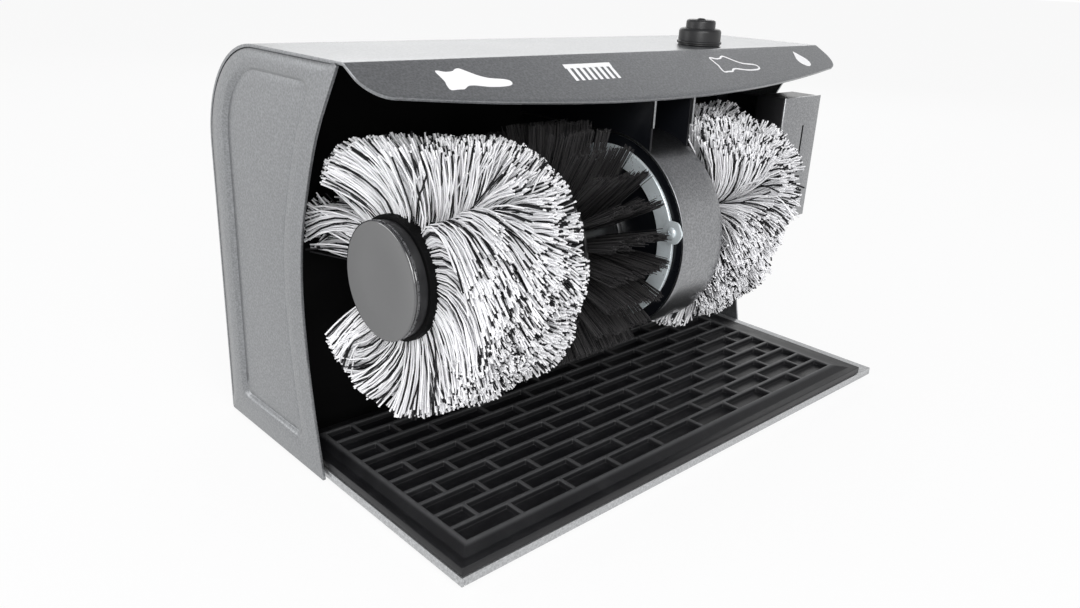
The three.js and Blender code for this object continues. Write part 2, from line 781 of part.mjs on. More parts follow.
// Side plate of the casing with the bearing's seat.
function casingPlate(outerX, innerX, withScrew) {
  const outline = casingPath(plateRadius, casingFrontY + casingSheet + restGap);
  outline.push([bulkheadY - restGap, bayTop]);
  const low = Math.min(outerX, innerX);
  const high = Math.max(outerX, innerX);
  const plate = solid(prismX(outline, low, high));
  const seat = solid(moved(
    rodX(low - cutOverrun, high + cutOverrun, bearingRadius + restGap, plainSides), 0, shaftY, shaftZ));
  const tools = [seat, aboveLip()];
  if (withScrew) {
    tools.push(solid(moved(
      rodX(low - cutOverrun, high + cutOverrun, screwShankRadius + restGap, screwSides),
      0, ...clampPlace())));
  }
  return cut(plate, tools);
}

function clampPlace() {
  const angle = THREE.MathUtils.degToRad(clampAngleDegrees);
  return [shaftY - clampRadius * Math.cos(angle), shaftZ + clampRadius * Math.sin(angle)];
}

function casingBlank() {
  const low = casingLeftX + casingSideInset + casingSheet + restGap;
  const high = casingRightX - casingSideInset - casingSheet - restGap;
  const front = casingFrontY + casingSheet + casingBlankSet;
  const reach = casingRadius - casingSheet - restGap;
  const foot = shaftZ + Math.sqrt(reach ** 2 - (shaftY - front) ** 2) - casingSheet - restGap;
  return cut(solid(block([low, front, foot], [high, front + casingSheet, bayTop])), [aboveLip()]);
}

// Six-cornered clamp plate with cut corners, and its screw.
function clampPlate(fromX, toX) {
  const corners = [];
  for (let i = 0; i < 6; i += 1) {
    const angle = (i * Math.PI) / 3;
    corners.push([clampSize * Math.cos(angle), clampSize * Math.sin(angle)]);
  }
  const outline = corners.flatMap(([y, z], i) => {
    const [y0, z0] = corners[(i + 5) % 6];
    const [y1, z1] = corners[(i + 1) % 6];
    const blend = (a, b) => a + (b - a) * clampCornerShare;
    return [[blend(y, y0), blend(z, z0)], [blend(y, y1), blend(z, z1)]];
  });
  const hole = solid(rodX(fromX - cutOverrun, toX + cutOverrun, screwShankRadius + restGap, screwSides));
  return cut(solid(prismX(outline, fromX, toX)), [hole]);
}

function slottedScrewX(headX, shankEndX, headRadius, headHeight, shankRadius) {
  const side = Math.sign(shankEndX - headX);
  const seatX = headX + side * headHeight;
  const head = solid(rodX(Math.min(headX, seatX), Math.max(headX, seatX), headRadius, screwSides));
  const shank = solid(rodX(Math.min(headX + (side * headHeight) / 2, shankEndX),
    Math.max(headX + (side * headHeight) / 2, shankEndX), shankRadius, screwSides));
  const floorX = headX + side * screwSlotDepth;
  const slot = solid(block(
    [Math.min(headX - side * cutOverrun, floorX), -headRadius - cutOverrun, -screwSlotWidth / 2],
    [Math.max(headX - side * cutOverrun, floorX), headRadius + cutOverrun, screwSlotWidth / 2]));
  return cut(joined([head, shank]), [slot]);
}

// One straight strand from a base ring to a tip ring, each a small polygon that faces away from
// the axle.
function strand(base, tip, across, along, tipShare, sides) {
  const positions = [];
  const axle = new THREE.Vector3(1, 0, 0);
  [[base, 1], [tip, tipShare]].forEach(([centre, share]) => {
    const round = axle.clone().cross(centre).normalize();
    for (let i = 0; i < sides; i += 1) {
      const angle = ((i + 1 / 2) * 2 * Math.PI) / sides;
      const point = centre.clone()
        .addScaledVector(round, (across / 2) * share * Math.cos(angle) * Math.SQRT2)
        .addScaledVector(axle, (along / 2) * share * Math.sin(angle) * Math.SQRT2);
      positions.push(point.x, point.y, point.z);
    }
  });
  const index = [];
  for (let i = 0; i < sides; i += 1) {
    const j = (i + 1) % sides;
    index.push(i, j, sides + j, i, sides + j, sides + i);
    if (i > 0 && i < sides - 1) index.push(0, i + 1, i, sides, sides + i, sides + i + 1);
  }
  const geometry = new THREE.BufferGeometry();
  geometry.setAttribute('position', new THREE.Float32BufferAttribute(positions, 3));
  geometry.setIndex(index);
  return geometry;
}

function around(x, radius, angle) {
  return new THREE.Vector3(x, radius * Math.cos(angle), radius * Math.sin(angle));
}

// Mop pile about its own middle: rows of strands that fan out along the shaft and lean over in
// a smooth swirl, so that no two cross, on the sleeve that they are stitched to.
function mopPile() {
  const half = mopPileLength / 2;
  const strandFoot = pileFoot + mopBacking / 2;
  const sleeve = sleeveX(-half, half, pileFoot, pileFoot + mopBacking, fineSides);
  const strands = [];
  for (let row = 0; row < mopRows; row += 1) {
    const place = (2 * row) / (mopRows - 1) - 1;
    const baseX = place * (half - mopStrandWidth);
    const tipX = baseX + place * mopTipSpread;
    const tipRadius = mopPileRadius - (mopPileRadius - mopEndTipRadius) * place ** 2;
    for (let i = 0; i < mopStrandsPerRow; i += 1) {
      const angle = ((i + (row % 2) / 2) * 2 * Math.PI) / mopStrandsPerRow;
      const lean = mopSwirlShares[0] * Math.sin(angle + mopSwirlPhases[0])
        + mopSwirlShares[1] * Math.sin(3 * angle + mopSwirlPhases[1]);
      strands.push(solid(strand(
        around(baseX, strandFoot, angle), around(tipX, tipRadius, angle + lean),
        mopStrandWidth, mopStrandWidth, mopStrandTipWidth / mopStrandWidth, 3)));
    }
  }
  return joined([solid(sleeve), ...strands]);
}

// Bristle brush about its own middle: rows of flat tufts along the shaft on a sleeve.
function bristleSleeve() {
  const half = brushLength / 2;
  const foot = brushHubRadius + restGap;
  const sleeve = sleeveX(-half, half, foot, foot + brushBacking, fineSides);
  const strands = [];
  const reach = half - brushEndMargin;
  for (let row = 0; row < brushTuftRows; row += 1) {
    const angle = (row * 2 * Math.PI) / brushTuftRows;
    for (let i = 0; i < brushTuftsPerRow; i += 1) {
      const x = -reach + (2 * reach * i) / (brushTuftsPerRow - 1);
      strands.push(solid(strand(
        around(x, foot + brushBacking / 2, angle), around(x - brushLean, brushTipRadius, angle),
        brushStrandDepth, brushStrandWidth, brushStrandTipShare, 4)));
    }
  }
  return joined([solid(sleeve), ...strands]);
}

// Pulley with two flanges and a shaft bore, about its own middle.
function pulley(radius, bore, sides) {
  const half = pulleyWidth / 2;
  const rim = radius + pulleyFlangeRise;
  return turnedX([
    [-half, bore], [half, bore], [half, rim], [half - pulleyFlange, rim],
    [half - pulleyFlange, radius], [-half + pulleyFlange, radius], [-half + pulleyFlange, rim],
    [-half, rim],
  ], sides);
}

// Loop round both pulleys at a distance from their running faces.
function beltLoop(offset) {
  const rise = motorZ - shaftZ;
  const run = motorY - shaftY;
  const span = Math.hypot(run, rise);
  const heading = Math.atan2(rise, run);
  const spread = Math.acos((drivenPulleyRadius - drivePulleyRadius) / span);
  return [
    ...arc(shaftY, shaftZ, drivenPulleyRadius + offset,
      heading + spread, heading + 2 * Math.PI - spread, beltSteps),
    ...arc(motorY, motorZ, drivePulleyRadius + offset, heading - spread, heading + spread, beltSteps),
  ];
}

function belt() {
  const facetGap = drivenPulleyRadius * (1 - Math.cos(Math.PI / beltSteps));
  const inner = beltLoop(restGap + facetGap);
  const outer = beltLoop(restGap + facetGap + beltThickness);
  const half = pulleyWidth / 2 - pulleyFlange - beltSideGap;
  const whole = solid(prismX(outer, casingX - half, casingX + half));
  const hole = solid(prismX(inner, casingX - half - cutOverrun, casingX + half + cutOverrun));
  return cut(whole, [hole]);
}

// Motor end bell about the motor's axis, with its shaft bore.
function motorEnd(fromX, toX, bored) {
  const inner = bored ? motorShaftRadius + restGap : 0;
  return turnedX([[fromX, inner], [toX, inner], [toX, motorEndRadius], [fromX, motorEndRadius]],
    plainSides);
}

// L-shaped bracket under the left end of the motor, with a hole that the end bell sits in.
function motorBracket(plateX) {
  const half = motorEndRadius + bracketMargin;
  const foot = trayFloorTop + restGap;
  const plate = solid(block([plateX, motorY - half, foot],
    [plateX + bracketSheet, motorY + half - bracketMargin, motorZ + half]));
  const sole = solid(block([plateX, motorY - half, foot],
    [plateX + bracketFoot, motorY + half - bracketMargin, foot + bracketSheet]));
  const hole = solid(moved(rodX(plateX - cutOverrun, plateX + bracketSheet + cutOverrun,
    motorEndRadius + restGap, plainSides), 0, motorY, motorZ));
  return cut(joined([plate, sole]), [hole]);
}

// Saddle that holds the capacitor on the tray.
function capacitorClip(centreY, centreZ) {
  const outer = capacitorRadius + restGap + clipWall;
  const foot = trayFloorTop + restGap;
  const body = solid(block([-clipWidth / 2, centreY - outer, foot], [clipWidth / 2, centreY + outer, centreZ]));
  const bore = solid(moved(rodX(-clipWidth, clipWidth, capacitorRadius + restGap, plainSides),
    0, centreY, centreZ));
  return cut(body, [bore]);
}

function inletGrommet() {
  const groove = hoodSheet + 2 * restGap;
  return turnedZ([
    [inletProud, inletBore], [inletProud, inletFlangeRadius - restGap], [restGap, inletFlangeRadius],
    [restGap, inletRadius], [restGap - groove, inletRadius], [restGap - groove, inletFlangeRadius],
    [restGap - groove - inletTail / 3, inletFlangeRadius - restGap], [-inletTail, inletRadius],
    [-inletTail, inletBore],
  ], smallSides);
}

function buttonCollar() {
  const inner = capRimRadius + slideGap;
  return turnedZ([
    [restGap, inner], [restGap, collarRadius], [collarBeadFoot, collarRadius],
    [collarBeadFoot, collarRadius + collarBead],
    [collarBeadFoot + collarBeadHeight, collarRadius + collarBead],
    [collarBeadFoot + collarBeadHeight, collarRadius],
    [collarHeight - collarRound, collarRadius], [collarHeight, collarRadius - collarRound],
    [collarHeight, inner],
  ], plainSides);
}

function buttonCap() {
  return turnedZ([
    [-stemDrop, 0], [-stemDrop, stemRadius], [capFoot, stemRadius], [capFoot, capRimRadius],
    [capTopHeight - capRound, capRimRadius], [capTopHeight, capRimRadius - capRound],
    [capTopHeight, buttonDomeRadius],
    [capTopHeight + buttonDomeHeight, buttonDomeRadius / 2],
    [capTopHeight + buttonDomeHeight, 0],
  ], plainSides);
}

function switchBody() {
  const top = hoodTop - hoodSheet - restGap;
  const body = solid(moved(block([-switchSize / 2, -switchSize / 2, -switchHeight],
    [switchSize / 2, switchSize / 2, 0]), buttonX, buttonY, top));
  const well = solid(moved(rodZ(-stemDrop - buttonTravel - 2 * slideGap, cutOverrun,
    stemRadius + slideGap, smallSides), buttonX, buttonY, top));
  return cut(body, [well]);
}

// Front plate of the dispenser with rounded upright edges and the sight slot.
function dispenserFront() {
  const radius = dispenserEdgeRadius;
  const y = dispenserFrontY + radius;
  const outline = [
    ...arc(dispenserLeftX + radius, y, radius, Math.PI, (3 * Math.PI) / 2, dispenserEdgeSteps),
    ...arc(dispenserRightX - radius, y, radius, -Math.PI / 2, 0, dispenserEdgeSteps),
    [dispenserRightX, dispenserFrontY + dispenserSheet],
    [dispenserLeftX, dispenserFrontY + dispenserSheet],
  ];
  const plate = solid(prismZ(outline, dispenserFootZ, dispenserTopZ));
  const slot = solid(block(
    [sightX - sightWidth / 2, dispenserFrontY - cutOverrun, dispenserFootZ + sightRise],
    [sightX + sightWidth / 2, dispenserFrontY + dispenserSheet + cutOverrun,
      dispenserFootZ + sightRise + sightHeight]));
  return cut(plate, [slot]);
}

// Tank behind the front plate, open below, with the arm that lies on the right panel.
function dispenserTank() {
  const front = dispenserFrontY + dispenserSheet + restGap;
  const back = dispenserFrontY + dispenserDepth;
  const low = dispenserFootZ + tankInset;
  const high = dispenserTopZ - tankInset;
  const left = dispenserLeftX + tankInset;
  const right = dispenserRightX - tankInset;
  const body = solid(block([left, front, low], [right, back, high]));
  const armX = panelInnerX - fieldDepth - restGap;
  const arm = solid(block([armX - armThickness, back - tankWall, dispenserFootZ + armFootMargin],
    [Math.min(armX, right), back + armReach, dispenserTopZ - armTopMargin]));
  const hollow = solid(block([left + tankWall, front + tankWall, low - cutOverrun],
    [right - tankWall, back - tankWall, high - tankWall]));
  return cut(joined([body, arm]), [hollow]);
}

// Base of the tank with the tube that guides the valve.
function dispenserBase() {
  const front = dispenserFrontY + dispenserSheet + restGap + tankWall + restGap;
  const back = dispenserFrontY + dispenserDepth - tankWall - restGap;
  const low = dispenserFootZ + tankInset;
  const left = dispenserLeftX + tankInset + tankWall + restGap;
  const right = dispenserRightX - tankInset - tankWall - restGap;
  const plate = solid(block([left, front, low], [right, back, low + baseThickness]));
  const guide = solid(moved(rodZ(0, guideHeight, guideRadius, smallSides), valveX, valveY, low));
  const bore = solid(moved(rodZ(-cutOverrun, guideHeight + cutOverrun, valveRadius + slideGap, smallSides),
    valveX, valveY, low));
  return cut(joined([plate, guide]), [bore]);
}

// Valve pin with its head below the base and a collar above the guide.
function dispenserValve() {
  const collarFoot = guideHeight + restGap;
  return turnedZ([
    [-valveDrop, 0], [-valveDrop, valveHeadRadius - restGap],
    [-valveDrop + valveHeadHeight / 2, valveHeadRadius],
    [-valveDrop + valveHeadHeight, valveHeadRadius], [-valveDrop + valveHeadHeight, valveRadius],
    [collarFoot, valveRadius], [collarFoot, valveHeadRadius],
    [collarFoot + valveCollarHeight, valveHeadRadius], [collarFoot + valveCollarHeight, 0],
  ], smallSides);
}

function backScrew() {
  const length = hoodSheet + 2 * traySheet + restGap;
  const screw = surface(slottedScrewX(backScrewHeadHeight + restGap, -length,
    backScrewHeadRadius, backScrewHeadHeight, backScrewShankRadius));
  screw.rotateZ(Math.PI / 2);
  return screw;
}

function addHousing(machine) {
  piece('hood_shell', hoodShell(), hammertone, machine);
  const left = surface(sidePanel());
  piece('side_panel_left', left, hammertone, machine);
  piece('side_panel_right', mirroredX(left), hammertone, machine);
  piece('base_tray', tray(), trayPaint, machine);
  piece('rubber_mat', mat(), blackRubber, machine);
  piece('bulkhead', bulkhead(), blackPaint, machine);
  const feet = [
    ['foot_front_left', -1, footInsetY], ['foot_front_right', 1, footInsetY],
    ['foot_rear_left', -1, panelBackY - footInsetY], ['foot_rear_right', 1, panelBackY - footInsetY],
  ];
  for (const [name, side, y] of feet) {
    const mesh = piece(name, foot(), blackRubber, machine);
    mesh.position.set(side * (trayHalfWidth - footInsetX), y, 0);
  }
  const screws = [
    ['back_screw_1', -backScrewX], ['back_screw_2', -backScrewInnerX],
    ['back_screw_3', backScrewInnerX], ['back_screw_4', backScrewX],
  ];
  for (const [name, x] of screws) {
    piece(name, backScrew(), plainSteel, machine).position.set(x, hoodDepth, backScrewZ);
  }
}

function addCasing(machine) {
  piece('casing_band', casingBand(), hammertone, machine);
  piece('casing_plate_left',
    casingPlate(plateLeftOuterX, plateLeftOuterX + casingSheet, true), blackPaint, machine);
  piece('casing_plate_right',
    casingPlate(plateRightOuterX, plateRightOuterX - casingSheet, false), blackPaint, machine);
  piece('casing_blank', casingBlank(), blackPaint, machine);
  const plates = [['bearing_left', plateLeftOuterX + casingSheet / 2],
    ['bearing_right', plateRightOuterX - casingSheet / 2]];
  for (const [name, x] of plates) {
    const half = bearingWidth / 2;
    piece(name, sleeveX(-half, half, hubBore, bearingRadius, plainSides), plainSteel, machine).position.set(x, shaftY, shaftZ);
  }
  const ringX = plateLeftOuterX - restGap;
  const ring = sleeveX(ringX - ringSheet, ringX, ringInnerRadius, ringOuterRadius, fineSides);
  piece('bright_ring', ring, brightSteel, machine).position.set(0, shaftY, shaftZ);
  const clampX = ringX - ringSheet - restGap;
  piece('clamp_plate', clampPlate(clampX - clampSheet, clampX), brightSteel, machine)
    .position.set(0, ...clampPlace());
  const head = clampX - clampSheet - restGap - screwHeadHeight;
  piece('clamp_screw', slottedScrewX(head, plateLeftOuterX + casingSheet,
    screwHeadRadius, screwHeadHeight, screwShankRadius), brightSteel, machine)
    .position.set(0, ...clampPlace());
}

// Everything that turns with the brush shaft, about the shaft's axis.
function addBrushRotor(machine) {
  const rotor = new THREE.Group();
  rotor.position.set(0, shaftY, shaftZ);
  machine.add(rotor);
  piece('brush_shaft', rodX(leftMopEndX + shaftEndRecess, rightMopEndX - shaftEndRecess,
    shaftRadius, plainSides), plainSteel, rotor);
  const leftHubEnd = separatorX - separatorThickness - restGap;
  piece('mop_left_hub', sleeveX(leftMopEndX, leftHubEnd, hubBore, mopHubRadius, fineSides),
    blackPlastic, rotor);
  const pile = surface(mopPile());
  const pileSet = mopCapEdge + mopPileLength / 2;
  piece('mop_left_pile', pile, mopYarn, rotor).position.x = leftMopEndX + pileSet;
  piece('mop_left_cap', endCap(leftMopEndX - restGap, -1), darkGloss, rotor);
  piece('separator_disc', sleeveX(separatorX - separatorThickness, separatorX,
    hubBore, separatorRadius, fineSides), blackPlastic, rotor);
  const brushStart = separatorX + restGap;
  piece('brush_hub', sleeveX(brushStart, brushStart + brushLength, hubBore,
    brushHubRadius, fineSides), blackPlastic, rotor);
  piece('brush_bristles', bristleSleeve(), bristle, rotor).position.x = brushStart + brushLength / 2;
  piece('driven_pulley', pulley(drivenPulleyRadius, hubBore, fineSides), castGrey, rotor)
    .position.x = casingX;
  const rightHubStart = plateRightOuterX + bearingWidth / 2 + restGap;
  piece('mop_right_hub', sleeveX(rightHubStart, rightMopEndX, hubBore, mopHubRadius,
    fineSides), blackPlastic, rotor);
  piece('mop_right_pile', mirroredX(pile), mopYarn, rotor).position.x = rightMopEndX - pileSet;
  piece('mop_right_cap', endCap(rightMopEndX + restGap, 1), darkGloss, rotor);
}

// Domeless end cap whose inner face is at a place and which grows to one side.
function endCap(innerX, side) {
  const edgeX = innerX + side * (capThickness - capChamfer);
  const outerX = innerX + side * capThickness;
  const profile = [[innerX, 0], [innerX, capRadius], [edgeX, capRadius],
    [outerX, capRadius - capChamfer], [outerX, 0]];
  return turnedX(profile, fineSides);
}

function addDrive(machine) {
  const drive = new THREE.Group();
  drive.position.set(0, motorY, motorZ);
  machine.add(drive);
  const canEnd = motorX + motorLength;
  piece('motor_can', rodX(motorX, canEnd, motorRadius, plainSides), plainSteel, drive);
  piece('motor_end_left', motorEnd(motorX - restGap - motorEndThickness, motorX - restGap,
    true), castGrey, drive);
  piece('motor_end_right', motorEnd(canEnd + restGap, canEnd + restGap + motorEndThickness,
    false), castGrey, drive);
  const shaftStart = casingX - pulleyWidth / 2 - motorShaftOverrun;
  piece('motor_shaft', rodX(shaftStart, motorX - restGap - restGap, motorShaftRadius,
    smallSides), plainSteel, drive);
  piece('drive_pulley', pulley(drivePulleyRadius, motorShaftRadius + restGap, plainSides),
    castGrey, drive).position.x = casingX;
  piece('drive_belt', belt(), blackRubber, machine);
  piece('motor_bracket_left', motorBracket(motorX - restGap - motorEndThickness / 2 - bracketSheet / 2),
    plainSteel, machine);
  piece('motor_bracket_right', motorBracket(canEnd + restGap + motorEndThickness / 2
    - bracketSheet / 2), plainSteel, machine);
}

function addElectrics(machine) {
  const capacitorZ = trayFloorTop + 2 * restGap + clipWall + capacitorRadius;
  const capacitorBody = rodX(-capacitorLength / 2, capacitorLength / 2, capacitorRadius,
    plainSides);
  piece('capacitor', capacitorBody, plainSteel, machine).position.set(capacitorX, motorY, capacitorZ);
  piece('capacitor_clip', capacitorClip(motorY, capacitorZ), blackPlastic, machine)
    .position.x = capacitorX;
  const foot = trayFloorTop + restGap;
  piece('terminal_box', block([terminalX - terminalWidth / 2, motorY - terminalDepth / 2, foot],
    [terminalX + terminalWidth / 2, motorY + terminalDepth / 2, foot + terminalHeight]),
  blackPlastic, machine);
  const grommet = piece('inlet_grommet', inletGrommet(), blackRubber, machine);
  grommet.rotation.x = -Math.PI / 2;
  grommet.position.set(inletX, hoodDepth, inletZ);
}

function addButton(machine) {
  const button = new THREE.Group();
  button.position.set(buttonX, buttonY, hoodTop);
  machine.add(button);
  piece('button_collar', buttonCollar(), blackRubber, button);
  piece('button_cap', buttonCap(), blackRubber, button);
  piece('switch_body', switchBody(), blackPlastic, machine);
}

function addDispenser(machine) {
  piece('dispenser_front', dispenserFront(), hammertone, machine);
  piece('dispenser_tank', dispenserTank(), blackPlastic, machine);
  piece('dispenser_base', dispenserBase(), blackPlastic, machine);
  piece('dispenser_valve', dispenserValve(), brightSteel, machine)
    .position.set(valveX, valveY, dispenserFootZ + tankInset);
}

const machine = new THREE.Group();
machine.position.set(0, -overallDepth / 2, footRise);
addHousing(machine);
addCasing(machine);
addBrushRotor(machine);
addDrive(machine);
addElectrics(machine);
addButton(machine);
addDispenser(machine);

const shoeShineMachine = new THREE.Group();
shoeShineMachine.add(machine);

export default shoeShineMachine;
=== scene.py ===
"""Looks of the shoe shine machine: hammered hood and panels, rubber mat, mops, brush, casing.

Sizes are millimetres from the machine's own datum, the front edge of the tray at the lower edge
of its flange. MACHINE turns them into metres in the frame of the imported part.
"""

from __future__ import annotations

import logging
import math
import random
from dataclasses import dataclass, field
from enum import Enum
from typing import Any, Callable, Iterable, Sequence

import bmesh
import bpy
from mathutils import Matrix, Vector


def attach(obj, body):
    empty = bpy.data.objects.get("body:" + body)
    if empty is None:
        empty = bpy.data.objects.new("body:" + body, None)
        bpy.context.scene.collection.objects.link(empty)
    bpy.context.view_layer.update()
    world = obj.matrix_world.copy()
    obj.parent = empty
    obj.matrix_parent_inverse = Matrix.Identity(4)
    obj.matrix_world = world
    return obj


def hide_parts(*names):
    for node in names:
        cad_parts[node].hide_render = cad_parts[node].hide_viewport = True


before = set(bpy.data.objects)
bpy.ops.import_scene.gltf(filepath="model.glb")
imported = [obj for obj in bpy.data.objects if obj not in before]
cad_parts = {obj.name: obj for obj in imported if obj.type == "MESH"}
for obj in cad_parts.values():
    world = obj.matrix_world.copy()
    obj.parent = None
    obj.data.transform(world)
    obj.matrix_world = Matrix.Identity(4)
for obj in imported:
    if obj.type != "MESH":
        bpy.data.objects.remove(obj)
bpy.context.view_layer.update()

log = logging.getLogger("shoe_shine_machine")

MM = 0.001
HALF_DEPTH = 121.5
FOOT_RISE = 3.0
MACHINE = Matrix.Translation((0.0, -HALF_DEPTH * MM, FOOT_RISE * MM)) @ Matrix.Scale(MM, 4)

SHAFT_Y = 86.0
SHAFT_Z = 127.9
ON_SHAFT = Matrix.Translation((0.0, SHAFT_Y, SHAFT_Z))
HOOD_TOP = 235.0
FOLD_Y = 89.0
LIP_SLOPE = math.radians(30.0)
LIP_NORMAL = Vector((0.0, -math.sin(LIP_SLOPE), math.cos(LIP_SLOPE)))
AS_PACKED = Matrix.Identity(4)
WELD = 1e-4

Colour = tuple[float, float, float]
Pair = tuple[float, float]


class Body(str, Enum):
    """The rigid bodies that pieces ride on."""

    HOUSING = "housing"
    ROTOR = "brush_rotor"
    MOTOR = "motor_rotor"
    BUTTON = "button"
    VALVE = "valve"
    MAT = "mat"


class Slot(str, Enum):
    """The record's material slots."""

    HAMMERTONE = "hammertone"
    TRAY = "tray_paint"
    BLACK_PAINT = "black_paint"
    RUBBER = "black_rubber"
    BRIGHT = "bright_steel"
    STEEL = "plain_steel"
    CAPACITOR = "capacitor_can"
    CAST = "cast_grey"
    PLASTIC = "black_plastic"
    CAP = "cap_gloss"
    YARN = "mop_yarn"
    BRISTLE = "bristle"


# Materials


class Term:
    """A socket that takes part in arithmetic: each operator adds its Math node."""

    def __init__(self, recipe: Recipe, socket: bpy.types.NodeSocket) -> None:
        """Wraps one output socket of a recipe's tree."""
        self.recipe = recipe
        self.socket = socket

    def _math(self, operation: str, *values: Any) -> Term:
        """Adds a Math node on these values and returns its result."""
        return self.recipe.node("ShaderNodeMath", {"operation": operation}, dict(enumerate(values)))

    def __add__(self, other: Any) -> Term:
        """Sum."""
        return self._math("ADD", self, other)

    __radd__ = __add__

    def __sub__(self, other: Any) -> Term:
        """Difference."""
        return self._math("SUBTRACT", self, other)

    def __rsub__(self, other: Any) -> Term:
        """Difference from a number."""
        return self._math("SUBTRACT", other, self)

    def __mul__(self, other: Any) -> Term:
        """Product."""
        return self._math("MULTIPLY", self, other)

    __rmul__ = __mul__

    def above(self, edge: float, soft: float) -> Term:
        """0 below an edge, 1 above it, with a soft step between."""
        inputs = {"Value": self, "From Min": edge - soft, "From Max": edge + soft}
        return self.recipe.node("ShaderNodeMapRange", {"interpolation_type": "SMOOTHSTEP"}, inputs)


class Recipe:
    """The node tree of one material, or of the world."""

    def __init__(self, tree: bpy.types.NodeTree) -> None:
        """Empties the tree so that it holds only what the recipe adds."""
        self.tree = tree
        tree.nodes.clear()

    def node(self, kind: str, settings: dict[str, Any], inputs: dict[Any, Any],
             out: Any = 0) -> Term:
        """Adds one node.

        Args:
            kind: The node's type.
            settings: Its properties, set first; "stops" holds a ramp's stops.
            inputs: Values or terms by socket name or number.
            out: The output that the result wraps.

        Returns:
            The chosen output as a term.
        """
        made = self.tree.nodes.new(kind)
        for key, value in settings.items():
            if key == "stops":
                self._set_stops(made.color_ramp, value)
            else:
                setattr(made, key, value)
        for key, value in inputs.items():
            if isinstance(value, Term):
                self.tree.links.new(value.socket, made.inputs[key])
            else:
                made.inputs[key].default_value = value
        if not made.outputs:
            return Term(self, None)
        return Term(self, made.outputs[out])

    @staticmethod
    def _set_stops(ramp: bpy.types.ColorRamp, stops: Sequence[tuple[float, Colour]]) -> None:
        """Gives a colour ramp its stops.

        Args:
            ramp: The ramp.
            stops: Places and colours.
        """
        while len(ramp.elements) < len(stops):
            ramp.elements.new(0.5)
        for element, (place, colour) in zip(ramp.elements, stops):
            element.position = place
            element.color = (*colour, 1.0)

    def place(self) -> Term:
        """The point on the piece."""
        return self.node("ShaderNodeTexCoord", {}, {}, "Object")

    def marked(self, attribute: str) -> Term:
        """One of the piece's mesh attributes."""
        return self.node("ShaderNodeAttribute", {"attribute_name": attribute}, {}, "Fac")

    def stretched(self, scale: Sequence[float]) -> Term:
        """The point on the piece with each axis scaled."""
        inputs = {"Vector": self.place(), "Scale": tuple(scale)}
        return self.node("ShaderNodeMapping", {}, inputs)

    def noise(self, scale: float, detail: float, rough: float, where: Term | None = None) -> Term:
        """Cloudy noise from 0 to 1."""
        inputs = {"Vector": where or self.place(), "Scale": scale, "Detail": detail,
                  "Roughness": rough}
        return self.node("ShaderNodeTexNoise", {}, inputs, "Fac")

    def pebbles(self, scale: float, smooth: float) -> Term:
        """Rounded cells, 0 at their middles."""
        inputs = {"Vector": self.place(), "Scale": scale, "Smoothness": smooth}
        return self.node("ShaderNodeTexVoronoi", {"feature": "SMOOTH_F1"}, inputs, "Distance")

    def ramp(self, value: Term, stops: Sequence[tuple[float, Colour]]) -> Term:
        """Colours along a value."""
        return self.node("ShaderNodeValToRGB", {"stops": stops}, {"Fac": value}, "Color")

    def mixed(self, share: Any, *colours: Any) -> Term:
        """Blend of two colours."""
        first, second = (c if isinstance(c, Term) else (*c, 1.0) for c in colours)
        return self.node("ShaderNodeMix", {"data_type": "RGBA"}, {0: share, 6: first, 7: second}, 2)

    def seen(self) -> Term:
        """Tells the rays that show the floor itself.

        Returns:
            1 for rays straight from the camera, in a reflection or through glass.
        """
        outputs = ("Is Camera Ray", "Is Glossy Ray", "Is Transmission Ray")
        camera, glossy, through = (self.node("ShaderNodeLightPath", {}, {}, o) for o in outputs)
        return (camera + glossy + through).above(0.5, 0.4)

    def relief(self, height: Term, depth: float, strength: float = 1.0) -> Term:
        """Bump for the Normal input.

        Args:
            height: Relief from 0 to 1.
            depth: Its full depth in millimetres.
            strength: How much of it shows.

        Returns:
            The bumped normal.
        """
        inputs = {"Height": height, "Distance": depth * MM, "Strength": strength}
        return self.node("ShaderNodeBump", {}, inputs)

    def paint(self, **inputs: Any) -> Term:
        """A Principled shader. An underscore stands for the space in a socket's name."""
        named = {key.replace("_", " "): value for key, value in inputs.items()}
        return self.node("ShaderNodeBsdfPrincipled", {}, named)

    def show(self, shader: Term) -> None:
        """Ends the tree with the material's output."""
        self.node("ShaderNodeOutputMaterial", {}, {"Surface": shader})

    def surface(self, **inputs: Any) -> None:
        """Paints the material with one Principled shader."""
        self.show(self.paint(**inputs))


@dataclass(frozen=True)
class Finish:
    """A finish has a name and makes its material."""

    name: str

    def make(self) -> bpy.types.Material:
        """Makes the finish's material the first time that it is asked for.

        Returns:
            The material.
        """
        material = bpy.data.materials.get(self.name)
        if material is None:
            material = bpy.data.materials.new(self.name)
            material.use_nodes = True
            self.mix(Recipe(material.node_tree))
        return material

    def mix(self, recipe: Recipe) -> None:
        """Builds the finish's nodes.

        Args:
            recipe: The tree that takes the nodes.
        """
        raise NotImplementedError


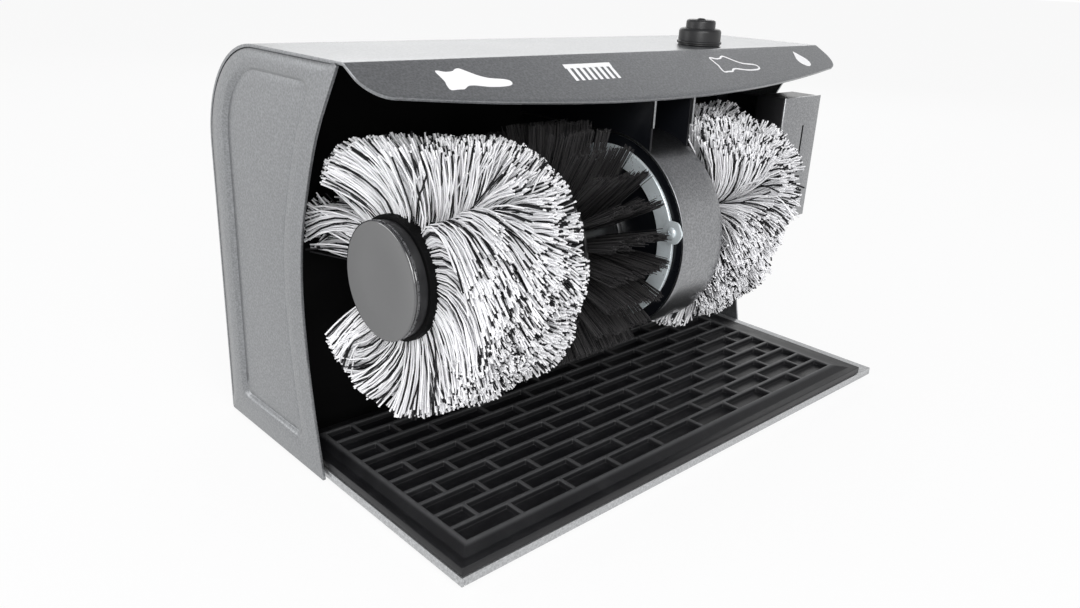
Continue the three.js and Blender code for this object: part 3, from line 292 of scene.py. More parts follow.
@dataclass(frozen=True)
class Hammertone(Finish):
    """Metallic paint that dried in fine hammered dimples."""

    dark: Colour = (0.183, 0.189, 0.196)
    light: Colour = (0.300, 0.308, 0.318)
    grain: float = 820.0
    dimple: float = 0.085
    sheen: float = 0.33
    metal: float = 0.85

    def mix(self, recipe: Recipe) -> None:
        """Dimples, flecks in their hollows and a faint handling haze.

        Args:
            recipe: The tree that takes the nodes.
        """
        cells = recipe.pebbles(self.grain, 0.75)
        drift = recipe.noise(self.grain * 0.55, 3.0, 0.6)
        fleck = recipe.noise(self.grain * 1.7, 2.0, 0.7)
        haze = recipe.noise(16.0, 3.0, 0.55)
        height = cells * 0.6 + drift * 0.7
        tone = (fleck * 0.55 + cells * 0.5 + (haze - 0.5) * 0.12).above(0.5, 0.30)
        recipe.surface(
            Base_Color=recipe.mixed(tone, self.dark, self.light),
            Metallic=self.metal,
            Roughness=self.sheen + (haze - 0.5) * 0.10 + (fleck - 0.5) * 0.10,
            Coat_Weight=0.25,
            Coat_Roughness=0.16,
            Normal=recipe.relief(height, self.dimple, 0.8),
        )


@dataclass(frozen=True)
class SmoothPaint(Finish):
    """Sprayed paint with a slight orange peel and dust."""

    colour: Colour = (0.5, 0.5, 0.5)
    sheen: float = 0.4
    metal: float = 0.0
    peel: float = 0.03
    dust: float = 0.15
    gloss: float = 0.5

    def mix(self, recipe: Recipe) -> None:
        """Peel in the relief, dust in the colour and the sheen.

        Args:
            recipe: The tree that takes the nodes.
        """
        peel = recipe.noise(420.0, 2.0, 0.5)
        cloud = recipe.noise(22.0, 4.0, 0.6)
        grit = recipe.noise(2300.0, 1.0, 0.5)
        dirty = tuple(min(1.0, c * 1.5 + 0.012) for c in self.colour)
        share = (cloud * 0.7 + grit * 0.3).above(0.55, 0.25) * self.dust
        recipe.surface(
            Base_Color=recipe.mixed(share, self.colour, dirty),
            Metallic=self.metal,
            Roughness=self.sheen + (cloud - 0.5) * 0.16 + (grit - 0.5) * 0.05,
            Specular_IOR_Level=self.gloss,
            Normal=recipe.relief(peel, self.peel),
        )


@dataclass(frozen=True)
class Rubber(Finish):
    """Moulded black rubber, slightly chalky where it is scuffed."""

    colour: Colour = (0.010, 0.010, 0.011)
    chalk: Colour = (0.045, 0.046, 0.048)
    sheen: float = 0.5
    grain: float = 0.03
    wear_and_highlight_from: float = 0.0
    wear_and_highlight: Colour = (0.085, 0.086, 0.089)

    def mix(self, recipe: Recipe) -> None:
        """Fine mould grain with scuffs, and a lighter grey on what stands highest, partly feet's
        wear and partly a painted highlight.

        Args:
            recipe: The tree that takes the nodes.
        """
        grit = recipe.noise(1800.0, 2.0, 0.6)
        scuff = recipe.noise(60.0, 5.0, 0.7)
        share = (scuff * 0.75 + grit * 0.25).above(0.60, 0.14) * 0.5
        colour = recipe.mixed(share, self.colour, self.chalk)
        # What stands above this height is painted lighter: partly wear from feet, partly a painted
        # highlight on the tops of the mat's ribs.
        if self.wear_and_highlight_from:
            height = recipe.node("ShaderNodeSeparateXYZ", {}, {"Vector": recipe.place()}, "Z")
            top = height.above(self.wear_and_highlight_from * MM, 0.9 * MM) * (0.55 + 0.45 * scuff)
            colour = recipe.mixed(top, colour, self.wear_and_highlight)
        recipe.surface(
            Base_Color=colour,
            Roughness=self.sheen + (scuff - 0.5) * 0.25,
            Specular_IOR_Level=0.4,
            Normal=recipe.relief(grit, self.grain),
        )


@dataclass(frozen=True)
class Plastic(Finish):
    """Moulded plastic with a fine spark-eroded grain."""

    colour: Colour = (0.012, 0.012, 0.014)
    sheen: float = 0.35
    index: float = 1.5
    grain: float = 0.015

    def mix(self, recipe: Recipe) -> None:
        """Grain, smears and a little dust.

        Args:
            recipe: The tree that takes the nodes.
        """
        grit = recipe.noise(1500.0, 2.0, 0.6)
        smear = recipe.noise(35.0, 3.0, 0.6)
        dusty = tuple(c + 0.012 for c in self.colour)
        share = (smear + grit * 0.3).above(0.72, 0.2) * 0.6
        recipe.surface(
            Base_Color=recipe.mixed(share, self.colour, dusty),
            Roughness=self.sheen + (smear - 0.5) * 0.12,
            IOR=self.index,
            Normal=recipe.relief(grit, self.grain),
        )


@dataclass(frozen=True)
class Metal(Finish):
    """Bare metal: turned, drawn or cast."""

    colour: Colour = (0.5, 0.5, 0.5)
    sheen: float = 0.3
    lines: tuple[float, float, float] = (1.0, 1.0, 1.0)
    tarnish: float = 0.3
    relief: float = 0.01
    metal: float = 1.0

    def mix(self, recipe: Recipe) -> None:
        """Tool marks along one way, with cloudy tarnish.

        Args:
            recipe: The tree that takes the nodes.
        """
        marks = recipe.noise(900.0, 2.0, 0.6, recipe.stretched(self.lines))
        cloud = recipe.noise(45.0, 4.0, 0.6)
        dull = tuple(c * 0.55 for c in self.colour)
        recipe.surface(
            Base_Color=recipe.mixed(cloud.above(0.55, 0.25) * self.tarnish, self.colour, dull),
            Metallic=self.metal,
            Roughness=self.sheen + (marks - 0.5) * 0.14 + (cloud - 0.5) * 0.12,
            Normal=recipe.relief(marks, self.relief),
        )


@dataclass(frozen=True)
class Yarn(Finish):
    """Twisted mop yarn. The thread attribute tells one thread from the next."""

    shaded_root: Colour = (0.72, 0.72, 0.74)
    tip: Colour = (0.94, 0.94, 0.955)
    spread: float = 0.25

    def mix(self, recipe: Recipe) -> None:
        """Tone by thread, and painted shade that darkens each thread towards its root, with the
        twist in the relief.

        Args:
            recipe: The tree that takes the nodes.
        """
        twist = recipe.noise(1500.0, 2.0, 0.6)
        between = (recipe.marked("thread") - 0.5) * self.spread
        # Along runs from 0 at the root to 1 at the tip: the darker root colour is painted shade
        # deep in the pile.
        shade = recipe.marked("along") * 0.7 + between + (twist - 0.5) * 0.5 + 0.25
        recipe.surface(
            Base_Color=recipe.mixed(shade.above(0.5, 0.5), self.shaded_root, self.tip),
            Roughness=0.85 - twist * 0.1,
            Specular_IOR_Level=0.25,
            Normal=recipe.relief(twist, 0.12),
        )


@dataclass(frozen=True)
class Flat(Finish):
    """Printed or stage colour with a breath of unevenness."""

    colour: Colour = (0.9, 0.9, 0.9)
    sheen: float = 0.5

    def mix(self, recipe: Recipe) -> None:
        """Nearly plain colour.

        Args:
            recipe: The tree that takes the nodes.
        """
        cloud = recipe.noise(90.0, 3.0, 0.6)
        other = tuple(c * 0.95 for c in self.colour)
        recipe.surface(
            Base_Color=recipe.mixed(cloud, self.colour, other),
            Roughness=self.sheen + (cloud - 0.5) * 0.1,
        )


@dataclass(frozen=True)
class StudioFloor(Finish):
    """Pale floor that looks white and keeps a soft shadow."""

    colour: Colour = (0.93, 0.93, 0.935)
    glow: float = 0.89

    def mix(self, recipe: Recipe) -> None:
        """A matt floor, with its own white for rays that look at it.

        Args:
            recipe: The tree that takes the nodes.
        """
        cloud = recipe.noise(3.0, 3.0, 0.6)
        other = tuple(c * 0.98 for c in self.colour)
        matt = recipe.paint(Base_Color=recipe.mixed(cloud, self.colour, other), Roughness=1.0,
                            Specular_IOR_Level=0.0)
        white = recipe.node("ShaderNodeEmission", {}, {"Color": (1.0, 1.0, 1.0, 1.0),
                                                       "Strength": 1.0})
        inputs = {0: recipe.seen() * self.glow, 1: matt, 2: white}
        recipe.show(recipe.node("ShaderNodeMixShader", {}, inputs))


HAMMERTONE = Hammertone("hammertone_grey")
HAMMERTONE_DRUM = Hammertone("hammertone_casing", dark=(0.20, 0.203, 0.21),
                             light=(0.35, 0.355, 0.365), sheen=0.30, metal=1.0)
TRAY_PAINT = Hammertone("hammertone_tray", dark=(0.33, 0.333, 0.34), light=(0.55, 0.56, 0.57),
                        sheen=0.4)
INNER_BLACK = SmoothPaint("inner_black", (0.002, 0.002, 0.0022), 0.6, 0.0, 0.05, 0.1, 0.08)
PLATE_BLACK = SmoothPaint("plate_gloss_black", (0.003, 0.0035, 0.005), 0.3, 0.0, 0.02, 0.2, 0.25)
MAT_TOP = 13.6
# The last two values paint the mat's rib tops lighter, partly as wear and partly as a painted
# highlight.
MAT_RUBBER = Rubber("mat_rubber", (0.005, 0.005, 0.006), (0.02, 0.02, 0.022), 0.45, 0.03,
                    MAT_TOP + FOOT_RISE)
SOFT_RUBBER = Rubber("button_rubber", (0.013, 0.013, 0.014), (0.04, 0.04, 0.042), 0.36, 0.008)
BELT_RUBBER = Rubber("belt_rubber", (0.02, 0.02, 0.02), (0.05, 0.05, 0.05), 0.7, 0.04)
BLACK_PLASTIC = Plastic("moulded_black", (0.008, 0.008, 0.009), 0.4)
HUB_PLASTIC = Plastic("hub_black", (0.010, 0.010, 0.011), 0.3, 1.45, 0.006)
CAP_GLOSS = Plastic("cap_gloss_black", (0.010, 0.011, 0.013), 0.07, 2.3, 0.0)
BRIGHT_STEEL = Metal("polished_zinc", (0.80, 0.87, 0.90), 0.3, (1.0, 1.0, 1.0), 0.5, 0.012, 0.4)
PLAIN_STEEL = Metal("drawn_steel", (0.44, 0.45, 0.46), 0.3, (0.2, 1.0, 1.0), 0.35, 0.012)
CAN_ALUMINIUM = Metal("drawn_aluminium", (0.62, 0.63, 0.64), 0.26, (0.1, 1.0, 1.0), 0.2, 0.008)
CAST_IRON = Metal("turned_casting", (0.20, 0.20, 0.21), 0.45, (1.0, 0.3, 0.3), 0.5, 0.03)
# Each yarn's first colour is painted shade at the roots inside the pile; the bristles' lighter
# second colour is also a painted sheen at the tips.
YARN_WHITE = Yarn("yarn_white")
YARN_BLACK = Yarn("yarn_black", (0.005, 0.005, 0.006), (0.018, 0.018, 0.02), 0.6)
BRISTLE = Yarn("bristle_black", (0.007, 0.007, 0.008), (0.055, 0.053, 0.054), 0.9)
PRINT_WHITE = Flat("print_white", (0.93, 0.93, 0.94), 0.45)
FLOOR_WHITE = StudioFloor("floor_white")


# Modelling helpers


def bevel_edges(work: bmesh.types.BMesh, edges: Iterable[bmesh.types.BMEdge], width: float,
                segments: int) -> None:
    """Rounds edges of a mesh.

    Args:
        work: The mesh.
        edges: Edges to round.
        width: Width of the rounding in the mesh's own unit.
        segments: Steps of the rounding.
    """
    bmesh.ops.bevel(work, geom=list(edges), offset=width, offset_type="OFFSET", segments=segments,
                    profile=0.5, affect="EDGES", clamp_overlap=True, material=-1)


def sharp_edges(work: bmesh.types.BMesh, degrees: float) -> list[bmesh.types.BMEdge]:
    """Edges whose two faces meet at more than an angle."""
    limit = math.radians(degrees)
    return [e for e in work.edges if len(e.link_faces) == 2 and e.calc_face_angle(0.0) > limit]


def grid(columns: int, rows: int, place: Callable[[int, int], Vector]) -> bmesh.types.BMesh:
    """A grid of faces laid over a shape.

    Args:
        columns: Faces across.
        rows: Faces along.
        place: Where the vertex of a column and a row goes.

    Returns:
        The mesh.
    """
    work = bmesh.new()
    bmesh.ops.create_grid(work, x_segments=columns, y_segments=rows, size=1.0)
    for vertex in work.verts:
        column = round((vertex.co.x + 1.0) / 2.0 * columns)
        row = round((vertex.co.y + 1.0) / 2.0 * rows)
        vertex.co = place(column, row)
    return work


def turned(profile: Sequence[Pair], steps: int) -> bmesh.types.BMesh:
    """A profile turned about X.

    Args:
        profile: Points of place along X and radius, closed where the ends meet the axis or
            each other.
        steps: Steps round.

    Returns:
        The closed mesh.
    """
    work = bmesh.new()
    verts = [work.verts.new((along, 0.0, radius)) for along, radius in profile]
    edges = [work.edges.new(pair) for pair in zip(verts, verts[1:])]
    bmesh.ops.spin(work, geom=verts + edges, cent=(0, 0, 0), axis=(1, 0, 0), dvec=(0, 0, 0),
                   angle=math.tau, steps=steps, use_merge=True, use_duplicate=False)
    bmesh.ops.remove_doubles(work, verts=work.verts, dist=WELD)
    bmesh.ops.recalc_face_normals(work, faces=work.faces)
    return work


def raised(work: bmesh.types.BMesh, way: Vector) -> bmesh.types.BMesh:
    """Draws faces out along a vector.

    Args:
        work: The faces.
        way: How far and which way.

    Returns:
        The same mesh, closed.
    """
    made = bmesh.ops.extrude_face_region(work, geom=list(work.faces))["geom"]
    moved = [g for g in made if isinstance(g, bmesh.types.BMVert)]
    bmesh.ops.translate(work, verts=moved, vec=way)
    bmesh.ops.recalc_face_normals(work, faces=work.faces)
    return work


def prism(outline: Sequence[Vector], way: Vector) -> bmesh.types.BMesh:
    """Draws a flat outline out along a vector.

    Args:
        outline: Its corners in order.
        way: How far and which way.

    Returns:
        The closed mesh.
    """
    work = bmesh.new()
    bmesh.ops.contextual_create(work, geom=[work.verts.new(point) for point in outline])
    return raised(work, way)


def spaced(start: float, end: float, steps: int) -> list[float]:
    """Evenly spaced numbers, both ends included."""
    return [start + (end - start) * i / steps for i in range(steps + 1)]


def arc(centre: Pair, radius: float, start: float, end: float, steps: int) -> list[Pair]:
    """Points on an arc, angles in degrees, ends included."""
    turns = [math.radians(angle) for angle in spaced(start, end, steps)]
    return [(centre[0] + radius * math.cos(a), centre[1] + radius * math.sin(a)) for a in turns]


def joined(parts: Sequence[bmesh.types.BMesh]) -> bmesh.types.BMesh:
    """Puts several meshes into one.

    Args:
        parts: The meshes, which are freed.

    Returns:
        The one mesh.
    """
    whole = bmesh.new()
    for part in parts:
        carrier = bpy.data.meshes.new("carrier")
        part.to_mesh(carrier)
        part.free()
        whole.from_mesh(carrier)
        bpy.data.meshes.remove(carrier)
    return whole


def face_out(work: bmesh.types.BMesh, way: Vector) -> None:
    """Turns a sheet of faces so that the furthest one along a vector looks along it.

    Args:
        work: The sheet.
        way: The vector.
    """
    bmesh.ops.recalc_face_normals(work, faces=work.faces)
    furthest = max(work.faces, key=lambda f: f.calc_center_median().dot(way))
    if furthest.normal.dot(way) < 0.0:
        bmesh.ops.reverse_faces(work, faces=work.faces)


def add_object(name: str, data: bpy.types.ID) -> bpy.types.Object:
    """Puts a new object into the scene.

    Args:
        name: The object's name.
        data: Its mesh, curve, lamp or camera.

    Returns:
        The object.
    """
    made = bpy.data.objects.new(name, data)
    bpy.context.scene.collection.objects.link(made)
    return made


def object_of(work: bmesh.types.BMesh, name: str, to_frame: Matrix = MACHINE) -> bpy.types.Object:
    """Makes an object of a mesh.

    Args:
        work: The mesh, which is freed.
        name: The object's name.
        to_frame: Brings the mesh into the part's frame.

    Returns:
        The object, at the origin, with its place in its mesh.
    """
    bmesh.ops.transform(work, matrix=to_frame, verts=work.verts)
    mesh = bpy.data.meshes.new(name)
    work.to_mesh(mesh)
    work.free()
    return add_object(name, mesh)


def final_mesh(piece: bpy.types.Object) -> bpy.types.Mesh:
    """The mesh of an object with its modifiers applied, or of a curve."""
    graph = bpy.context.evaluated_depsgraph_get()
    return bpy.data.meshes.new_from_object(piece.evaluated_get(graph))


def settle(piece: bpy.types.Object) -> None:
    """Applies a piece's modifiers to its mesh.

    Args:
        piece: The piece.
    """
    mesh = final_mesh(piece)
    mesh.name = piece.name
    piece.modifiers.clear()
    piece.data = mesh


def shade(piece: bpy.types.Object, degrees: float = 38.0) -> None:
    """Smooth shading that stops at sharp edges."""
    piece.data.polygons.foreach_set("use_smooth", [True] * len(piece.data.polygons))
    piece.data.set_sharp_from_angle(angle=math.radians(degrees))


def cut_with(piece: bpy.types.Object, knife: bpy.types.Object) -> None:
    """Cuts one object's shape out of another with a modifier.

    Args:
        piece: The object that is cut.
        knife: The cutting object.
    """
    cut = piece.modifiers.new("cut", "BOOLEAN")
    cut.object = knife
    cut.solver = "EXACT"


def soften(piece: bpy.types.Object, width: float, segments: int, degrees: float) -> None:
    """Rounds a piece's sharp edges with a modifier.

    Args:
        piece: The piece.
        width: Width of the rounding in millimetres.
        segments: Steps of the rounding.
        degrees: An edge is sharp above this angle.
    """
    rounding = piece.modifiers.new("edge", "BEVEL")
    rounding.width = width * MM
    rounding.segments = segments
    rounding.limit_method = "ANGLE"
    rounding.angle_limit = math.radians(degrees)


def hand_over(piece: bpy.types.Object, finishes: Sequence[Finish], body: Body, slot: Slot,
              stands_for: Sequence[str] = ()) -> None:
    """Dresses a piece and fixes it to its body.

    Args:
        piece: The piece.
        finishes: Its finishes in the order of the mesh's material numbers.
        body: What it rides on.
        slot: The record's material slot; not used.
        stands_for: Nodes that it replaces.
    """
    piece.data.materials.clear()
    for finish in finishes:
        piece.data.materials.append(finish.make())
    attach(piece, body.value)
    if stands_for:
        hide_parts(*stands_for)
    log.info("%s: %d faces on %s", piece.name, len(piece.data.polygons), body.value)


@dataclass(frozen=True)
class Turning:
    """A turned piece, the way that it is dressed and the nodes that it stands for."""

    name: str
    profile: Sequence[Pair]
    finish: Finish
    body: Body
    slot: Slot
    nodes: Sequence[str]
    steps: int
    smooth: float = 38.0

    def stand(self, place: Matrix) -> None:
        """Turns the piece about X and stands it in its place in the machine.

        Args:
            place: Brings it into the machine's millimetres.
        """
        piece = object_of(turned(self.profile, self.steps), self.name, MACHINE @ place)
        shade(piece, self.smooth)
        hand_over(piece, [self.finish], self.body, self.slot, self.nodes)


def upright(x: float, y: float, z: float) -> Matrix:
    """Stands a turned piece up at a place."""
    return Matrix.Translation((x, y, z)) @ Matrix.Rotation(-math.pi / 2.0, 4, "Y")


@dataclass(frozen=True)
class SheetStock:
    """Bent sheet with one paint on both sides."""

    paint: Finish
    thickness: float
    edge: float
    edge_steps: int = 2
    edge_angle: float = 50.0

    def make(self, work: bmesh.types.BMesh, name: str, nodes: Sequence[str],
             knife: bpy.types.Object | None = None) -> None:
        """Makes a piece of the sheet.

        Args:
            work: One side of it, facing away from its thickness.
            name: The piece's name.
            nodes: The nodes that it stands for.
            knife: What is cut out of it, removed afterwards.
        """
        piece = object_of(work, name)
        thick = piece.modifiers.new("sheet", "SOLIDIFY")
        thick.thickness = self.thickness * MM
        thick.offset = -1.0
        if knife:
            cut_with(piece, knife)
        soften(piece, self.edge, self.edge_steps, self.edge_angle)
        settle(piece)
        if knife:
            bpy.data.objects.remove(knife)
        shade(piece)
        hand_over(piece, [self.paint], Body.HOUSING, Slot.HAMMERTONE, nodes)


# Sheet metal


@dataclass
class Hood:
    """The bent sheet over everything: lip, top, rear corner and back."""

    half: float = 200.0
    depth: float = 240.0
    sheet: float = 1.6
    corner: float = 62.0
    fold_radius: float = 3.2
    hem: float = 0.6
    lip_middle: float = 43.3
    lip_end: float = 26.9
    lip_square: float = 9.0
    lip_corner: float = 15.0
    columns: int = 96
    vent_rows: int = 7
    vent_pitch: float = 9.0
    vent_length: float = 46.0
    vent_height: float = 3.4
    vent_x: float = 104.0
    vent_top: float = 168.0
    inlet_x: float = -150.0
    inlet_z: float = 44.0
    inlet_radius: float = 8.3
    knife: float = 6.0

    def lip_length(self, x: float) -> float:
        """Length of the lip down its slope.

        Args:
            x: Place along the machine.

        Returns:
            The length.
        """
        reach = self.half - self.lip_corner
        straight = min(abs(x), reach)
        length = self.lip_middle - (self.lip_middle - self.lip_end) * (straight / reach) ** 2
        if abs(x) <= reach:
            return length
        share = min(1.0, (abs(x) - reach) / self.lip_corner)
        return self.lip_square + (length - self.lip_square) * math.sqrt(max(0.0, 1.0 - share ** 2))

    def column_x(self, column: int) -> float:
        """Place of a column, closer together near the ends."""
        share = 2.0 * column / self.columns - 1.0
        return self.half * math.sin(share * math.pi / 2.0)

    def profile(self, x: float) -> list[Pair]:
        """Outer side of the sheet from the lip's tip to the foot of the back.

        Args:
            x: Place along the machine.

        Returns:
            Points of depth and height, the same count everywhere.
        """
        tangent = self.fold_radius * math.tan(LIP_SLOPE / 2.0)
        fold, rear, foot = FOLD_Y + tangent, self.depth - self.corner, HOOD_TOP - self.corner
        points = [(FOLD_Y - t * math.cos(LIP_SLOPE), HOOD_TOP - t * math.sin(LIP_SLOPE))
                  for t in spaced(self.lip_length(x), tangent, 12)]
        points += arc((fold, HOOD_TOP - self.fold_radius), self.fold_radius, 120.0, 90.0, 5)[1:]
        points += [(y, HOOD_TOP) for y in spaced(fold, rear, 6)[1:]]
        points += arc((rear, foot), self.corner, 90.0, 0.0, 28)[1:]
        return points + [(self.depth, z) for z in spaced(foot, self.hem, 10)[1:]]

    def slots(self) -> bpy.types.Object:
        """Makes the cutter for the cooling slots and the cord's inlet.

        Returns:
            The cutter, as one object.
        """
        radius = self.vent_height / 2.0
        reach = self.vent_length / 2.0 - radius
        parts = []
        for side in (-1.0, 1.0):
            for row in range(self.vent_rows):
                x, z = side * self.vent_x, self.vent_top - row * self.vent_pitch
                ends = arc((x - reach, z), radius, 90.0, 270.0, 8)
                ends += arc((x + reach, z), radius, -90.0, 90.0, 8)
                outline = [Vector((u, self.depth - self.knife, v)) for u, v in ends]
                parts.append(prism(outline, Vector((0.0, 2.0 * self.knife, 0.0))))
        length, radius = self.knife, self.inlet_radius
        inlet = turned([(-length, 0.0), (-length, radius), (length, radius), (length, 0.0)], 32)
        place = Matrix.Translation((self.inlet_x, self.depth, self.inlet_z))
        turn = place @ Matrix.Rotation(math.pi / 2.0, 4, "Z")
        bmesh.ops.transform(inlet, matrix=turn, verts=inlet.verts)
        return object_of(joined([*parts, inlet]), "slot_cutter")

    def build(self) -> None:
        """Bends, thickens, pierces and paints the sheet."""
        profiles = [self.profile(self.column_x(c)) for c in range(self.columns + 1)]
        rows = len(profiles[0]) - 1
        work = grid(self.columns, rows, lambda c, r: Vector((self.column_x(c), *profiles[c][r])))
        face_out(work, Vector((0.0, 0.0, 1.0)))
        stock = SheetStock(HAMMERTONE, self.sheet, 0.35)
        stock.make(work, "hood_sheet", ["hood_shell"], self.slots())


@dataclass
class SidePanel:
    """One side: a sheet with a bowed front edge and a pressed field, thick outwards."""

    mirror: bool = False
    outer: float = 199.1
    sheet: float = 1.5
    top: float = 233.1
    back: float = 238.1
    corner: float = 60.1
    field_depth: float = 2.2
    slope: float = 3.4
    roll: float = 7.0
    flat_edge: float = 2.4
    field_edge: tuple[float, ...] = (17.0, 15.0, 15.0, 8.0)
    rim: tuple[Pair, ...] = ((0.0, 4.2), (0.15, 2.6), (0.55, 1.3), (1.2, 0.45), (2.1, 0.0))
    front_edge: tuple[Pair, ...] = (
        (123.0, 0.0), (131.3, 38.7), (136.3, 72.0), (138.6, 106.5), (135.9, 137.8),
        (126.4, 171.1), (114.9, 199.3), (98.5, 225.9), (93.9, 233.1),
    )
    steps: int = 26

    def front(self, z: float) -> float:
        """Place of the front edge, through the measured points.

        Args:
            z: The height.

        Returns:
            The edge's distance from the front.
        """
        points = self.front_edge
        last = len(points) - 2
        i = next((k for k in range(last) if points[k + 1][1] >= z), last)
        before = points[max(0, i - 1)]
        after = points[min(len(points) - 1, i + 2)]
        (y0, z0), (y1, z1) = points[i], points[i + 1]
        share = (z - z0) / (z1 - z0)
        m0 = (y1 - before[0]) / (z1 - before[1]) * (z1 - z0)
        m1 = (after[0] - y0) / (after[1] - z0) * (z1 - z0)
        s2, s3 = share * share, share ** 3
        return ((2 * s3 - 3 * s2 + 1) * y0 + (s3 - 2 * s2 + share) * m0
                + (3 * s2 - 2 * s3) * y1 + (s3 - s2) * m1)

    def outline(self, margins: Sequence[float], small: float, large: float) -> list[Pair]:
        """Outline set in from the panel's edges.

        Args:
            margins: Distance from the front, bottom, back and top.
            small: Radius of the two front corners and the rear foot.
            large: Radius of the rear top corner.

        Returns:
            Points in order, the same count for any margins.
        """
        front, bottom, back, top = margins
        low, high, rear = bottom, self.top - top, self.back - back
        points = [(self.front(z) + front, z)
                  for z in spaced(high - small, low + small, self.steps)[1:-1]]
        middle = (self.front(low + small) + front + small, low + small)
        points += arc(middle, small, 180.0, 270.0, 6)
        points += [(y, low) for y in spaced(points[-1][0], rear - small, 12)[1:-1]]
        points += arc((rear - small, low + small), small, 270.0, 360.0, 6)
        points += [(rear, z) for z in spaced(low + small, high - large, 16)[1:-1]]
        points += arc((rear - large, high - large), large, 0.0, 90.0, 20)
        corner = self.front(high - small) + front + small
        points += [(y, high) for y in spaced(rear - large, corner, 8)[1:-1]]
        return points + arc((corner, high - small), small, 90.0, 180.0, 6)

    def rings(self) -> list[tuple[list[Pair], float]]:
        """Lays out the panel's press work.

        Returns:
            Outlines from the edge to the field, each with its depth.
        """
        rings = [(self.outline((m,) * 4, 0.6, self.corner - m), depth) for m, depth in self.rim]
        half = [0.6 * m for m in self.field_edge]
        rings.append((self.outline(half, 3.5, self.corner - 9.0), 0.0))
        for share in spaced(0.0, 1.0, 10):
            grow = self.slope * share
            margins = [m + grow for m in self.field_edge]
            depth = self.field_depth * (3.0 * share ** 2 - 2.0 * share ** 3)
            rings.append((self.outline(margins, 7.0, self.corner - 15.0 - grow), depth))
        inner = [m + self.slope + 5.0 for m in self.field_edge]
        return rings + [(self.outline(inner, 6.0, self.corner - 25.0), self.field_depth)]

    def build(self) -> None:
        """Presses, thickens and paints the panel."""
        rings = self.rings()
        count = len(rings[0][0])

        def spot(column: int, row: int) -> Vector:
            """Places a vertex of a ring.

            Args:
                column: Its number round the ring.
                row: The ring.

            Returns:
                Its place.
            """
            (y, z), depth = rings[row][0][column % count], rings[row][1]
            if row < len(self.rim):
                reach = min(y - self.front(z), z) - self.flat_edge
                depth *= min(1.0, max(0.0, reach / self.roll))
            return Vector((-self.outer + depth, y, z))

        work = grid(count, len(rings) - 1, spot)
        bmesh.ops.remove_doubles(work, verts=work.verts, dist=WELD)
        inner = -self.outer + self.field_depth - 1e-6
        hem = [e for e in work.edges if e.is_boundary and all(v.co.x > inner for v in e.verts)]
        bmesh.ops.contextual_create(work, geom=hem)
        bmesh.ops.recalc_face_normals(work, faces=work.faces)
        side = max(work.faces, key=lambda f: f.calc_area())
        if side.normal.x > 0.0:
            bmesh.ops.reverse_faces(work, faces=work.faces)
        if self.mirror:
            bmesh.ops.scale(work, vec=(-1.0, 1.0, 1.0), verts=work.verts)
            bmesh.ops.reverse_faces(work, faces=work.faces)
        name = "right" if self.mirror else "left"
        stock = SheetStock(HAMMERTONE, self.sheet, 0.3)
        stock.make(work, f"side_sheet_{name}", [f"side_panel_{name}"])


